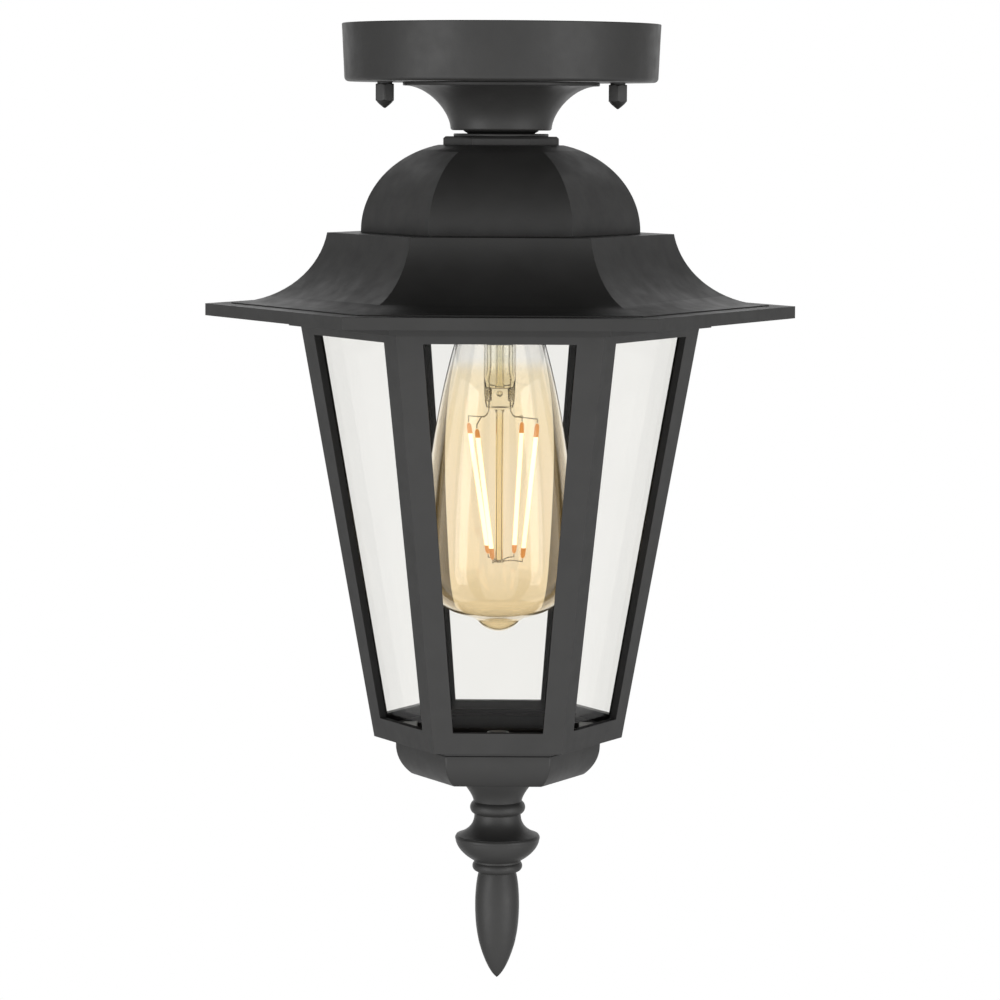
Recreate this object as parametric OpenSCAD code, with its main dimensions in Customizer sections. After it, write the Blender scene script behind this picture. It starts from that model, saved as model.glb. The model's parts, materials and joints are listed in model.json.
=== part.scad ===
// Hexagonal porch lantern that hangs close under a ceiling.
// Z = 0 is the ceiling, the lantern hangs below it, and its front faces -Y.

/* [Canopy] */
// Diameter of the canopy at the ceiling
canopy_d = 127; // [118:1:140]
// How much narrower the canopy is at its floor
canopy_draft = 2; // [0:0.5:6]
// Height of the canopy
canopy_h = 23; // [20:0.5:32]
// Wall and floor of the canopy
canopy_wall = 1.5; // [1:0.1:2.5]
// Radius of the canopy's lower edge
canopy_edge_r = 1.8; // [0.6:0.1:4]

/* [Mounting strap] */
// How far the strap runs past the centre of each canopy stud
strap_end = 6.6; // [4.5:0.1:9]
// Width of the strap
strap_w = 20; // [16:1:30]
// Thickness of the strap
strap_t = 2; // [1.5:0.1:3]
// Distance between the centres of the two box screw slots
box_slot_spacing = 69.85; // [66:0.05:72]
// Length of a box screw slot, end to end
box_slot_len = 14; // [8:0.5:16]
// Width of a box screw slot
box_slot_w = 5; // [4.5:0.1:6]
// Distance between the two canopy studs
stud_spacing = 92.8; // [90:0.2:95]
// Diameter of the canopy studs
stud_d = 4; // [3.4:0.1:4.6]
// Place of the ground screw along the strap
ground_x = 18; // [14:0.5:20]
// Diameter of the ground screw's shank
ground_d = 3; // [2.5:0.1:4]

/* [Stud nuts] */
// Width of a stud nut across flats
stud_nut_af = 7; // [6.5:0.1:9]
// Thickness of a stud nut
stud_nut_t = 3.2; // [2:0.1:4]
// Width of a cap nut across flats
cap_nut_af = 7.2; // [6.6:0.1:9]
// Height of a cap nut's hexagon
cap_nut_h = 6.8; // [5.5:0.1:9]
// Height of a cap nut's point
cap_nut_tip_h = 2.9; // [1.5:0.1:5]

/* [Hollow tube] */
// Outer diameter of the lamp tube's thread
tube_d = 9.9; // [9.5:0.1:10.5]
// Bore of the lamp tube
tube_bore = 7.2; // [6.8:0.1:7.6]
// Width of a tube nut across flats
tube_nut_af = 14; // [13:0.5:17]
// Thickness of a tube nut
tube_nut_t = 3; // [2:0.1:4]
// Diameter of the lock washer
lock_washer_d = 17; // [15:0.5:22]
// Thickness of the lock washer
lock_washer_t = 1; // [0.6:0.1:1.6]

/* [Neck] */
// Height of the trumpet neck
neck_h = 19.1; // [16:0.1:30]
// Diameter of the neck's flange
neck_flange_d = 78.5; // [70:0.5:84]
// Thickness of the neck's flange
neck_flange_t = 1.5; // [1:0.1:3]
// Diameter of the neck's foot
neck_foot_d = 40.4; // [36:0.2:46]
// Wall of the neck
neck_wall = 2.4; // [1.6:0.1:3.5]
// Upper diameter of the taper spacer under the neck
spacer_top_d = 30.1; // [26:0.1:34]
// Lower diameter of the taper spacer
spacer_foot_d = 27.1; // [24:0.1:30]
// Height of the taper spacer
spacer_h = 1.3; // [0.8:0.1:3]
// Diameter of the disc washer on the dome
disc_d = 37.9; // [32:0.1:39]
// Thickness of the disc washer
disc_t = 1.1; // [0.6:0.1:2]

/* [Dome] */
// Height of the dome with its top plate
dome_h = 38.5; // [37.2:0.1:39.2]
// Width of the dome's base across flats
dome_af = 96.8; // [92:0.2:106]
// Radius of the dome's curve
dome_r = 35.2; // [34.6:0.1:38]
// Height of the dome's plain foot
dome_foot_h = 0.9; // [0.4:0.1:2]
// Width of the top plate across flats
dome_plate_af = 40; // [38:0.2:42]
// Thickness of the top plate
dome_plate_t = 3.4; // [2.5:0.1:4]
// Chamfer of the top plate's edge
dome_plate_chamfer = 0.8; // [0.3:0.1:1.5]
// Wall of the dome
dome_wall = 2.6; // [1.8:0.1:3.5]

/* [Roof] */
// Height of the roof from its flat top to the brim's top
roof_h = 28.6; // [27:0.1:29.4]
// Width of the roof's waist across flats
roof_waist_af = 119.2; // [112:0.2:126]
// Radius of the roof's flare
roof_flare_r = 33.6; // [32.6:0.1:34.4]
// Width of the brim across flats
brim_af = 204.6; // [196:0.2:214]
// Thickness of the brim's edge
brim_t = 4.8; // [4:0.1:7]
// Width of the collar under the brim across flats
collar_af = 146.6; // [144.4:0.2:152]
// Height of the collar
collar_h = 3.9; // [2.5:0.1:7]
// Wall of the roof
roof_wall = 2.6; // [2:0.1:3.4]
// Diameter of the round opening between the dome and the roof
dome_opening_d = 76; // [66:1:78]

/* [Cage] */
// Height of the cage from its top ring to its foot
cage_h = 174; // [150:1:220]
// Width of the cage across flats where the roof's collar ends
cage_top_af = 138.3; // [134:0.1:139]
// Width of the cage's foot across flats
cage_foot_af = 86.8; // [84:0.1:96]
// Depth that the cage reaches into the roof
cage_sink = 7.8; // [7.4:0.1:8.2]
// Wall of the cage
cage_wall = 3; // [2.4:0.1:3.6]
// Width of a post's face at the top of the window
post_top_w = 10.2; // [8:0.1:13]
// Width of a post's face at the foot of the window
post_foot_w = 8.1; // [6.5:0.1:11]
// Height of the top rail under the collar
top_rail_h = 3.2; // [2:0.1:8]
// Height of the foot rail
foot_rail_h = 8.5; // [7:0.1:14]
// Thickness of the cage's two inner flanges
flange_t = 3; // [2.4:0.1:4]
// Width of the opening in the cage's foot across flats
foot_opening_af = 68; // [66:0.5:69]
// Height of the lip under the cage's foot
lip_h = 1.9; // [1:0.1:3]

/* [Glass] */
// Thickness of a pane
glass_t = 2.8; // [2:0.1:3]
// Gap between neighbouring panes at a corner
glass_gap = 0.3; // [0.2:0.1:0.8]
// Width of a glass clip
clip_w = 10; // [7:0.5:16]
// Thickness of a glass clip
clip_t = 0.8; // [0.5:0.1:1.2]

/* [Pan and finial] */
// Width of the pan across flats
pan_af = 71.8; // [71.2:0.2:74]
// Height of the pan
pan_h = 13.4; // [12:0.1:14.4]
// Radius of the pan's curve
pan_r = 15.1; // [14.6:0.1:16]
// Wall of the pan
pan_wall = 2.2; // [1.8:0.1:2.4]
// Width of the bridge bar
bridge_w = 14; // [11:0.5:16]
// Thickness of the bridge bar
bridge_t = 1.6; // [1.2:0.1:2]
// Diameter of the finial's washer
finial_washer_d = 31; // [30.5:0.5:40]
// Thickness of the finial's washer
finial_washer_t = 1; // [0.6:0.1:2]
// Height of the finial's turned head
finial_head_h = 39.2; // [34:0.2:46]
// Length of the finial's drop
finial_drop_h = 43.5; // [35:0.5:60]
// Diameter of the finial's top
finial_top_d = 30; // [25:0.2:30]
// Diameter of the finial's cup
finial_cup_d = 34.4; // [30:0.2:40]
// Diameter of the finial's upper bead
finial_bead_d = 22.4; // [20:0.2:26]
// Diameter of the finial's drop
finial_drop_d = 17.9; // [15:0.1:21]
// Depth of the thread in the finial
finial_bore_h = 13; // [10:0.5:20]

/* [Lampholder] */
// Diameter of the lampholder's porcelain body
holder_d = 38; // [34:0.5:44]
// Height of the porcelain body
holder_h = 41; // [39.5:0.5:42]
// Height of the open bracket over the porcelain body
bracket_h = 13.5; // [12.5:0.5:15]
// Width of the bracket
bracket_w = 14; // [12:0.5:18]
// Thickness of the bracket
bracket_t = 2; // [1.5:0.1:2.4]
// Diameter of a lead with its insulation
lead_d = 2; // [1.6:0.1:2.2]
// Diameter of a lead's bare copper
copper_d = 1; // [0.8:0.1:1.2]

/* [Bulb] */
// Diameter of the bulb
bulb_d = 60.8; // [56:0.2:62]
// Diameter of the bulb's screw cap
bulb_cap_d = 26.1; // [25.8:0.1:26.4]
// Height of the screw cap with its contact
bulb_cap_h = 26; // [24.5:0.5:27]
// Length of the bulb's glass below the screw cap
bulb_glass_h = 133.7; // [120:0.1:145]
// Thickness of the bulb's glass
bulb_wall = 0.8; // [0.5:0.1:1.2]
// Number of lit filaments
filament_count = 4; // [3:1:6]
// Length of a filament
filament_len = 52; // [40:1:58]
// Diameter of a filament
filament_d = 2; // [1.4:0.1:2.6]

/* [Hidden] */
$fn = 96;

black = [0.16, 0.16, 0.155];
steel = [0.72, 0.72, 0.7];
brass = [0.78, 0.62, 0.32];
cut = 1;               // how far a cutter runs past the face that it opens
weld = 0.02;           // how far two pieces of one solid run into each other
slip = 0.05;           // radial clearance of a thread or screw in its hole
clear = 0.3;           // clearance between pieces that pass each other
cos30 = cos(30);
tan30 = tan(30);

// Heights, from the ceiling down
z_canopy = -canopy_h;
z_neck = z_canopy - neck_h;
z_spacer = z_neck - spacer_h;
z_dome = z_spacer - disc_t;
z_roof = z_dome - dome_h;
z_brim = z_roof - roof_h;
z_brim_foot = z_brim - brim_t;
z_collar = z_brim_foot - collar_h;
z_cage = z_collar + cage_sink;
z_cage_foot = z_cage - cage_h;
z_lip = z_cage_foot - lip_h;
z_pan_foot = z_lip - pan_h;
z_finial = z_pan_foot - finial_washer_t;

// Canopy, strap and studs
canopy_floor_z = z_canopy + canopy_wall;
stud_x = stud_spacing / 2;
strap_len = stud_spacing + 2 * strap_end;
stud_foot_z = z_canopy - cap_nut_h;
ground_head_h = 2;
cap_neck_h = 0.8;      // round neck over a cap nut's hexagon
tube_top_z = canopy_floor_z + lock_washer_t + tube_nut_t + 4;

// Dome and roof
dome_arc_a = dome_af / 2 - dome_r;
dome_body_h = dome_h - dome_plate_t;
dome_ceiling_z = z_roof + dome_foot_h + dome_r - dome_wall;
roof_step_h = 0.5;     // the flare ends on a low step inside the brim
flare_z = z_brim + roof_step_h + roof_flare_r;   // height of the centre of the flare's curve
flare_a = roof_waist_af / 2 + roof_flare_r;
web_t = 3;             // flat web between the dome and the roof's flare
dome_screw_r = 44;
dome_screw_d = 3.8;
dome_flange_t = 3;      // flange at the dome's foot that the screws hold
screw_head_d = 6.4;
screw_head_t = 2.2;

// Cage: the face leans in by cage_lean, and cage_a(z) is the outer width from the axis
cage_tan = (cage_top_af - cage_foot_af) / 2 / (cage_h - cage_sink);
cage_lean = atan(cage_tan);
cage_skin = cage_wall / cos(cage_lean);
function cage_a(z) = cage_top_af / 2 - (z_collar - z) * cage_tan;
window_top_z = z_collar - top_rail_h;
window_foot_z = z_cage_foot + foot_rail_h;
foot_flange_z = z_cage_foot + flange_t + 0.5;
top_flange_z = z_cage - flange_t;
top_flange_a = 56;
boss_r = 73;           // place of the cage screws from the axis
boss_d = 8;
cage_screw_d = 3.8;
cage_screw_grip = 7;   // how far a cage screw runs into the roof

// Panes
pane_foot_z = foot_flange_z + 0.1;
pane_top_z = z_collar + 1.8;
pane_a = cage_a(pane_foot_z) - cage_skin - slip;
pane_len = (pane_top_z - pane_foot_z) / cos(cage_lean);
function pane_half(v) = (pane_a + v * sin(cage_lean) - glass_t * cos(cage_lean)) * tan30 - glass_gap / 2;
pane_inner_foot_a = pane_a - glass_t / cos(cage_lean);
ridge_w = 1.5;         // low ridge that keeps the panes' feet in
ridge_h = 1.8;
clip_foot_z = window_top_z - 0.6;
clip_a = cage_a(clip_foot_z) - cage_skin - slip - glass_t / cos(cage_lean) - 0.1;
clip_screw_a = (top_flange_a + clip_a) / 2;
clip_screw_d = 2.5;
clip_head_d = 4;
clip_head_t = 1.4;

// Pan, bridge, finial tube and finial
bridge_top_z = z_lip - 1;
bridge_leg_x = foot_opening_af / 2 / cos30 - bridge_w / 2 * tan30 - 0.9;
finial_tube_top_z = bridge_top_z + tube_nut_t + 1.9;
finial_tube_foot_z = z_finial - finial_bore_h + 1;

// Lampholder and leads
bracket_top_z = dome_ceiling_z - tube_nut_t;
holder_top_z = bracket_top_z - bracket_h;
holder_foot_z = holder_top_z - holder_h;
tube_foot_z = bracket_top_z - bracket_t - tube_nut_t - 1;
terminal_z = holder_top_z - 7;
bracket_screw_y = 11.5;
bracket_screw_d = 3;
bracket_screw_depth = 8;   // in the porcelain
bracket_head_d = 5.6;
bracket_head_t = 2;
terminal_d = 3;
terminal_depth = 4.8;
terminal_head_d = 7;
lead_x = tube_bore / 4 - 0.4;
lead_bend_r = 3;
lead_top_z = tube_top_z + 5;
lead_under_z = (tube_foot_z + holder_top_z) / 2;
terminal_x = holder_d / 2 + lead_d / 2 + 0.2;
lead_end_x = 30;
strip_len = 8;

// Bulb
cap_foot_z = holder_foot_z - 2.5;
cap_top_z = cap_foot_z + bulb_cap_h;
contact_h = 1.5;
insulator_h = 2.5;
cap_cone_h = 2.5;
cap_cone_r = 10;       // where the cap ends and the insulator starts
cap_skin = 0.35;
contact_d = 9;
shell_r = bulb_cap_d / 2 + clear;
shell_t = 0.4;
bulb_foot_z = cap_foot_z - bulb_glass_h;
bulb_neck_r = bulb_cap_d / 2 - 0.45;
bulb_belly_z = bulb_foot_z + 26.4;
bulb_bowl_r = 20;      // rounds the belly into the foot
bulb_base_r = 64;      // radius of the almost flat foot
bulb_tip_r = 10.6;     // the drawn tip under the foot
bulb_tip_h = 5;
stem_foot_z = cap_foot_z - 42.5;
rod_foot_z = stem_foot_z - 62.5;
filament_top_z = stem_foot_z - 9;
filament_top_r = 15.5;
filament_foot_r = 7.5;
filament_turn = 55;    // how far the first filament stands from +X
filament_drop = sqrt(filament_len ^ 2 - (filament_top_r - filament_foot_r) ^ 2);
filament_foot_z = filament_top_z - filament_drop;
wire_r = 0.35;
stem_d = 13;           // glass tube of the stem
stem_wall = 0.8;
pinch_w = 11;          // flattened end of the stem tube
pinch_t = 3.2;
pinch_h = 5;
rod_d = 3.2;
wire_x = 4.2;          // where the two wires leave the pinch
knee_x = 7.5;          // where each wire branches to its filaments
knee_r = 0.44;         // bead of weld on the branch
joint_gap = 0.6;       // from a wire's end to the middle of its filament's end
hub_d = 5;
hub_h = 1.2;

// Curves in a plane, as lists of points
function arc(c, r, from, to, n = 12) =
    [for (i = [0:n]) c + r * [cos(from + (to - from) * i / n), sin(from + (to - from) * i / n)]];
function curve(a, b, c, d, n = 12) =
    [for (i = [0:n]) let (t = i / n, u = 1 - t)
        u ^ 3 * a + 3 * u ^ 2 * t * b + 3 * u * t ^ 2 * c + t ^ 3 * d];

// A solid with six equal sides, from half of its outline: width from the axis against height
module six_sided(span) {
    intersection() {
        one_way(30, span) children();
        one_way(90, span) children();
        one_way(150, span) children();
    }
}

module one_way(angle, span) {
    rotate([90, 0, angle])
        linear_extrude(height = span, center = true) {
            children();
            mirror([1, 0]) children();
        }
}

module hex_prism(af, foot_z, top_z) {
    translate([0, 0, foot_z]) cylinder(h = top_z - foot_z, d = af / cos30, $fn = 6);
}

module disc(d, foot_z, top_z) {
    translate([0, 0, foot_z]) cylinder(h = top_z - foot_z, d = d);
}

module ring(d, bore, foot_z, top_z) {
    difference() {
        disc(d, foot_z, top_z);
        disc(bore, foot_z - cut, top_z + cut);
    }
}

module hex_nut(af, bore, foot_z, top_z) {
    difference() {
        hex_prism(af, foot_z, top_z);
        disc(bore, foot_z - cut, top_z + cut);
    }
}

// A straight round bar between two points
module bar(from, to, r) {
    d = to - from;
    translate(from)
        rotate([0, acos(d[2] / norm(d)), atan2(d[1], d[0])])
            cylinder(h = norm(d), r = r);
}

// Places a piece at both ends of the strap
module at_studs() {
    for (side = [-1, 1]) translate([side * stud_x, 0, 0]) children();
}

// Places a piece at three corners of the lantern
module at_three(r, first) {
    for (angle = [first, first + 120, first + 240]) rotate([0, 0, angle]) translate([r, 0, 0]) children();
}

module mounting_strap() {
    color(steel) difference() {
        intersection() {
            translate([-strap_len / 2, -strap_w / 2, -strap_t]) cube([strap_len, strap_w, strap_t]);
            disc(strap_len, -strap_t, 0);
        }
        for (side = [-1, 1]) translate([side * box_slot_spacing / 2, 0, 0]) box_slot();
        at_studs() disc(stud_d + 2 * slip, -strap_t - cut, cut);
        translate([ground_x, 0, 0]) disc(ground_d + 2 * slip, -strap_t - cut, cut);
    }
}

module box_slot() {
    reach = (box_slot_len - box_slot_w) / 2;
    translate([-reach, -box_slot_w / 2, -strap_t - cut])
        cube([2 * reach, box_slot_w, strap_t + 2 * cut]);
    for (side = [-1, 1]) translate([side * reach, 0, 0]) disc(box_slot_w, -strap_t - cut, cut);
}

module canopy_studs() {
    color(steel) at_studs() disc(stud_d, stud_foot_z, 0);
}

module stud_nuts() {
    color(steel) at_studs() hex_nut(stud_nut_af, stud_d + 2 * slip, -strap_t - stud_nut_t, -strap_t);
}

module ground_screw() {
    color([0.15, 0.5, 0.22]) translate([ground_x, 0, 0]) {
        disc(ground_d, -strap_t - weld, 0);
        disc(ground_d * 2.3, -strap_t - ground_head_h, -strap_t);
    }
}

module canopy() {
    foot_r = (canopy_d - canopy_draft) / 2;
    color(black) difference() {
        rotate_extrude() polygon(concat(
            [[0, z_canopy], [0, 0], [canopy_d / 2, 0]],
            arc([foot_r - canopy_edge_r, z_canopy + canopy_edge_r], canopy_edge_r, 0, -90, 8)
        ));
        rotate_extrude() polygon([
            [0, canopy_floor_z], [0, cut],
            [canopy_d / 2 - canopy_wall, cut], [canopy_d / 2 - canopy_wall, 0],
            [foot_r - canopy_wall, canopy_floor_z + canopy_edge_r],
            [foot_r - canopy_wall - canopy_edge_r * 0.6, canopy_floor_z]
        ]);
        disc(tube_d + 2 * slip, z_canopy - cut, 0);
        at_studs() disc(stud_d + 2 * clear, z_canopy - cut, 0);
    }
}

module cap_nuts() {
    hex_top_z = z_canopy - cap_neck_h;
    hex_foot_z = hex_top_z - cap_nut_h;
    color(black) at_studs() difference() {
        union() {
            disc(cap_nut_af * 0.84, hex_top_z - weld, z_canopy);
            rotate([0, 0, 30]) hex_prism(cap_nut_af, hex_foot_z, hex_top_z);
            translate([0, 0, hex_foot_z - cap_nut_tip_h])
                cylinder(h = cap_nut_tip_h + weld, d1 = cap_nut_af * 0.12, d2 = cap_nut_af * 0.96);
        }
        disc(stud_d + 2 * slip, stud_foot_z - 0.2, z_canopy + cut);
    }
}

module lock_washer() {
    color(steel) ring(lock_washer_d, tube_d + 2 * slip, canopy_floor_z, canopy_floor_z + lock_washer_t);
}

// One nut in the canopy, one under the dome's ceiling and one under the bracket
module tube_nuts() {
    color(steel) for (foot_z = [
        canopy_floor_z + lock_washer_t,
        dome_ceiling_z - tube_nut_t,
        bracket_top_z - bracket_t - tube_nut_t
    ]) hex_nut(tube_nut_af, tube_d + 2 * slip, foot_z, foot_z + tube_nut_t);
}

module threaded_tube() {
    color(steel) ring(tube_d, tube_bore, tube_foot_z, tube_top_z);
}

// The trumpet: a flange, a sweep down to the foot and a rounded lower edge
module neck() {
    flange_r = neck_flange_d / 2;
    foot_r = neck_foot_d / 2;
    sweep_z = z_canopy - neck_flange_t;
    sweep_h = neck_h - neck_flange_t;
    edge = 1;
    color(black) difference() {
        rotate_extrude() polygon(concat(
            [[0, z_canopy], [flange_r, z_canopy], [flange_r, sweep_z]],
            curve(
                [flange_r - 0.7, sweep_z],
                [foot_r + 9.2, sweep_z],
                [foot_r + 0.6, sweep_z - 0.55 * sweep_h],
                [foot_r, z_neck + edge],
                16
            ),
            arc([foot_r - edge, z_neck + edge], edge, 0, -90, 4),
            [[0, z_neck]]
        ));
        rotate_extrude() polygon(concat(
            [[0, z_canopy + cut], [flange_r - 8, z_canopy + cut]],
            curve(
                [flange_r - 8, z_canopy],
                [foot_r + 5.2, sweep_z - neck_wall],
                [foot_r - neck_wall, sweep_z - 0.65 * sweep_h],
                [foot_r - neck_wall, z_neck + neck_wall + 1],
                12
            ),
            [[foot_r - neck_wall - 1, z_neck + neck_wall], [0, z_neck + neck_wall]]
        ));
        disc(tube_d + 2 * slip, z_neck - cut, z_canopy);
    }
}

module taper_spacer() {
    color(black) difference() {
        translate([0, 0, z_spacer]) cylinder(h = spacer_h, d1 = spacer_foot_d, d2 = spacer_top_d);
        disc(tube_d + 2 * slip, z_spacer - cut, z_neck + cut);
    }
}

module disc_washer() {
    color(black) ring(disc_d, tube_d + 2 * slip, z_dome, z_spacer);
}

// Half of the dome's outline, taken in from its outer face by inset
module dome_half(inset) {
    translate([0, z_roof]) {
        intersection() {
            square([dome_af / 2, dome_body_h]);
            union() {
                square([dome_arc_a, dome_foot_h + dome_r - inset]);
                translate([dome_arc_a, dome_foot_h]) circle(r = dome_r - inset);
            }
        }
        square([dome_af / 2 - inset, dome_foot_h]);
    }
}

module plate_half() {
    half = dome_plate_af / 2;
    polygon([
        [0, z_roof], [half, z_roof],
        [half, z_dome - dome_plate_chamfer], [half - dome_plate_chamfer, z_dome], [0, z_dome]
    ]);
}

module dome() {
    color(black) difference() {
        six_sided(dome_af * 2) {
            dome_half(0);
            plate_half();
        }
        intersection() {
            six_sided(dome_af * 2) dome_half(dome_wall);
            hex_prism(dome_af + 2, z_roof + dome_flange_t, z_dome);
        }
        disc(dome_opening_d, z_roof - cut, z_roof + dome_flange_t + cut);
        disc(tube_d + 2 * slip, z_roof, z_dome + cut);
        at_three(dome_screw_r, 0) disc(dome_screw_d + 2 * slip, z_roof - cut, z_roof + dome_flange_t + cut);
    }
}

module dome_screws() {
    color(steel) at_three(dome_screw_r, 0) {
        disc(screw_head_d, z_roof - web_t - screw_head_t, z_roof - web_t);
        disc(dome_screw_d, z_roof - web_t - weld, z_roof + dome_flange_t);
    }
}

// Half of the flare's outline between two heights
module flare_half(inset, foot_z, top_z) {
    difference() {
        translate([0, foot_z]) square([flare_a, top_z - foot_z]);
        translate([flare_a, flare_z]) circle(r = roof_flare_r + inset);
    }
}

module roof() {
    inner_a = cage_a(z_cage) + clear;
    recess_a = brim_af / 2 - 2.6;
    color(black) difference() {
        union() {
            six_sided(brim_af * 2) flare_half(0, z_brim_foot, z_roof);
            hex_prism(brim_af, z_brim_foot, z_brim);
            hex_prism(collar_af, z_collar, z_brim_foot + weld);
        }
        difference() {
            intersection() {
                six_sided(brim_af * 2) flare_half(roof_wall, z_collar - cut, z_roof - web_t);
                hex_prism(2 * inner_a, z_collar - cut, z_roof);
            }
            at_three(boss_r, 60) disc(boss_d, z_cage, z_roof);
        }
        difference() {
            hex_prism(2 * recess_a, z_brim_foot - cut, z_brim - 2.4);
            hex_prism(collar_af, z_brim_foot - 2 * cut, z_brim);
        }
        disc(dome_opening_d, z_roof - web_t - cut, z_roof + cut);
        at_three(dome_screw_r, 0) disc(dome_screw_d + 2 * slip, z_roof - web_t - cut, z_roof + cut);
        at_three(boss_r, 60) disc(cage_screw_d + 2 * slip, z_cage - cut, z_cage + cage_screw_grip + 1);
    }
}

// The cage's outline, taken in by inset, between two heights
module cage_half(inset, foot_z, top_z) {
    polygon([
        [0, foot_z], [cage_a(foot_z) - inset, foot_z],
        [cage_a(top_z) - inset, top_z], [0, top_z]
    ]);
}

module cage() {
    foot_half = cage_a(window_foot_z) * tan30 - post_foot_w;
    top_half = cage_a(window_top_z) * tan30 - post_top_w;
    ridge_a = pane_inner_foot_a - 0.2;
    color(black) difference() {
        union() {
            six_sided(cage_top_af * 2) cage_half(0, z_cage_foot, z_cage);
            hex_prism(pan_af + 0.4, z_lip, z_cage_foot + weld);
        }
        difference() {
            six_sided(cage_top_af * 2) cage_half(cage_skin, foot_flange_z, top_flange_z);
            difference() {
                hex_prism(2 * ridge_a, foot_flange_z - cut, foot_flange_z + ridge_h);
                hex_prism(2 * (ridge_a - ridge_w), foot_flange_z - 2 * cut, foot_flange_z + ridge_h + cut);
            }
        }
        hex_prism(2 * top_flange_a, top_flange_z - cut, z_cage + cut);
        hex_prism(foot_opening_af, z_lip - cut, foot_flange_z + cut);
        for (angle = [30, 90, 150]) rotate([90, 0, angle + 90])
            linear_extrude(height = cage_top_af * 2, center = true) polygon([
                [-foot_half, window_foot_z], [foot_half, window_foot_z],
                [top_half, window_top_z], [-top_half, window_top_z]
            ]);
        at_three(boss_r, 60) disc(cage_screw_d + 2 * slip, top_flange_z - cut, z_cage + cut);
        for (angle = [30:60:330]) rotate([0, 0, angle]) translate([clip_screw_a, 0, 0])
            disc(clip_screw_d + 2 * slip, top_flange_z - cut, z_cage + cut);
    }
}

module cage_screws() {
    color(steel) at_three(boss_r, 60) {
        disc(screw_head_d, top_flange_z - screw_head_t, top_flange_z);
        disc(cage_screw_d, top_flange_z - weld, z_cage + cage_screw_grip);
    }
}

module pane(angle) {
    color([0.9, 0.93, 0.92, 0.3])
        rotate([0, 0, angle]) translate([pane_a, 0, pane_foot_z]) rotate([0, cage_lean, 0])
            rotate([90, 0, 90]) translate([0, 0, -glass_t]) linear_extrude(height = glass_t) polygon([
                [-pane_half(0), 0], [pane_half(0), 0],
                [pane_half(pane_len), pane_len], [-pane_half(pane_len), pane_len]
            ]);
}

// An angle at the middle of each face, under the top flange and behind the pane
module glass_clips() {
    color(steel) for (angle = [30:60:330]) rotate([0, 0, angle]) difference() {
        union() {
            translate([top_flange_a + 0.3, -clip_w / 2, top_flange_z - clip_t])
                cube([clip_a - top_flange_a - 0.3, clip_w, clip_t]);
            translate([clip_a - clip_t, -clip_w / 2, clip_foot_z])
                cube([clip_t, clip_w, top_flange_z - clip_foot_z]);
        }
        translate([clip_screw_a, 0, 0])
            disc(clip_screw_d + 2 * slip, top_flange_z - clip_t - cut, top_flange_z + cut);
    }
}

module clip_screws() {
    color(steel) for (angle = [30:60:330]) rotate([0, 0, angle]) translate([clip_screw_a, 0, 0]) {
        disc(clip_screw_d, top_flange_z - clip_t - weld, z_cage);
        disc(clip_head_d, top_flange_z - clip_t - clip_head_t, top_flange_z - clip_t);
    }
}

// A dropped bar: its ends lie on the cage's foot flange, and its middle holds the finial tube
module pan_bridge() {
    end_top_z = foot_flange_z + bridge_t;
    color(steel) difference() {
        union() {
            intersection() {
                hex_prism(2 * (pane_inner_foot_a - 0.4 - ridge_w), foot_flange_z, end_top_z);
                bridge_box(foot_opening_af, foot_flange_z, end_top_z);
            }
            bridge_box(bridge_leg_x, bridge_top_z - bridge_t, end_top_z);
        }
        translate([0, 0, foot_flange_z - cut])
            bridge_box(bridge_leg_x - bridge_t, 0, end_top_z - foot_flange_z + 2 * cut);
        translate([0, 0, bridge_top_z])
            bridge_box(bridge_leg_x - bridge_t, 0, end_top_z - bridge_top_z + cut);
        disc(tube_d + 2 * slip, bridge_top_z - bridge_t - cut, bridge_top_z + cut);
    }
}

module bridge_box(reach, foot_z, top_z) {
    translate([-reach, -bridge_w / 2, foot_z]) cube([2 * reach, bridge_w, top_z - foot_z]);
}

module finial_tube() {
    color(steel) ring(tube_d, tube_bore, finial_tube_foot_z, finial_tube_top_z);
}

// One nut on each side of the bridge
module finial_tube_nuts() {
    color(steel) for (foot_z = [bridge_top_z, bridge_top_z - bridge_t - tube_nut_t])
        hex_nut(tube_nut_af, tube_d + 2 * slip, foot_z, foot_z + tube_nut_t);
}

// Half of the pan's outline, taken in by inset
module pan_half(inset, top_z) {
    arc_a = pan_af / 2 - pan_r;
    arc_z = z_lip - 1.5;
    translate([0, z_pan_foot + inset]) square([arc_a, top_z - z_pan_foot - inset]);
    translate([0, arc_z]) square([pan_af / 2 - inset, top_z - arc_z]);
    intersection() {
        translate([0, z_pan_foot + inset]) square([pan_af / 2, top_z - z_pan_foot - inset]);
        translate([arc_a, arc_z]) circle(r = pan_r - inset);
    }
}

module pan() {
    color(black) difference() {
        six_sided(pan_af * 2) pan_half(0, z_lip);
        six_sided(pan_af * 2) pan_half(pan_wall, z_lip + cut);
        disc(tube_d + 2 * clear, z_pan_foot - cut, z_lip);
    }
}

module finial_washer() {
    color(black) ring(finial_washer_d, tube_d + 2 * clear, z_finial, z_pan_foot);
}

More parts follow.
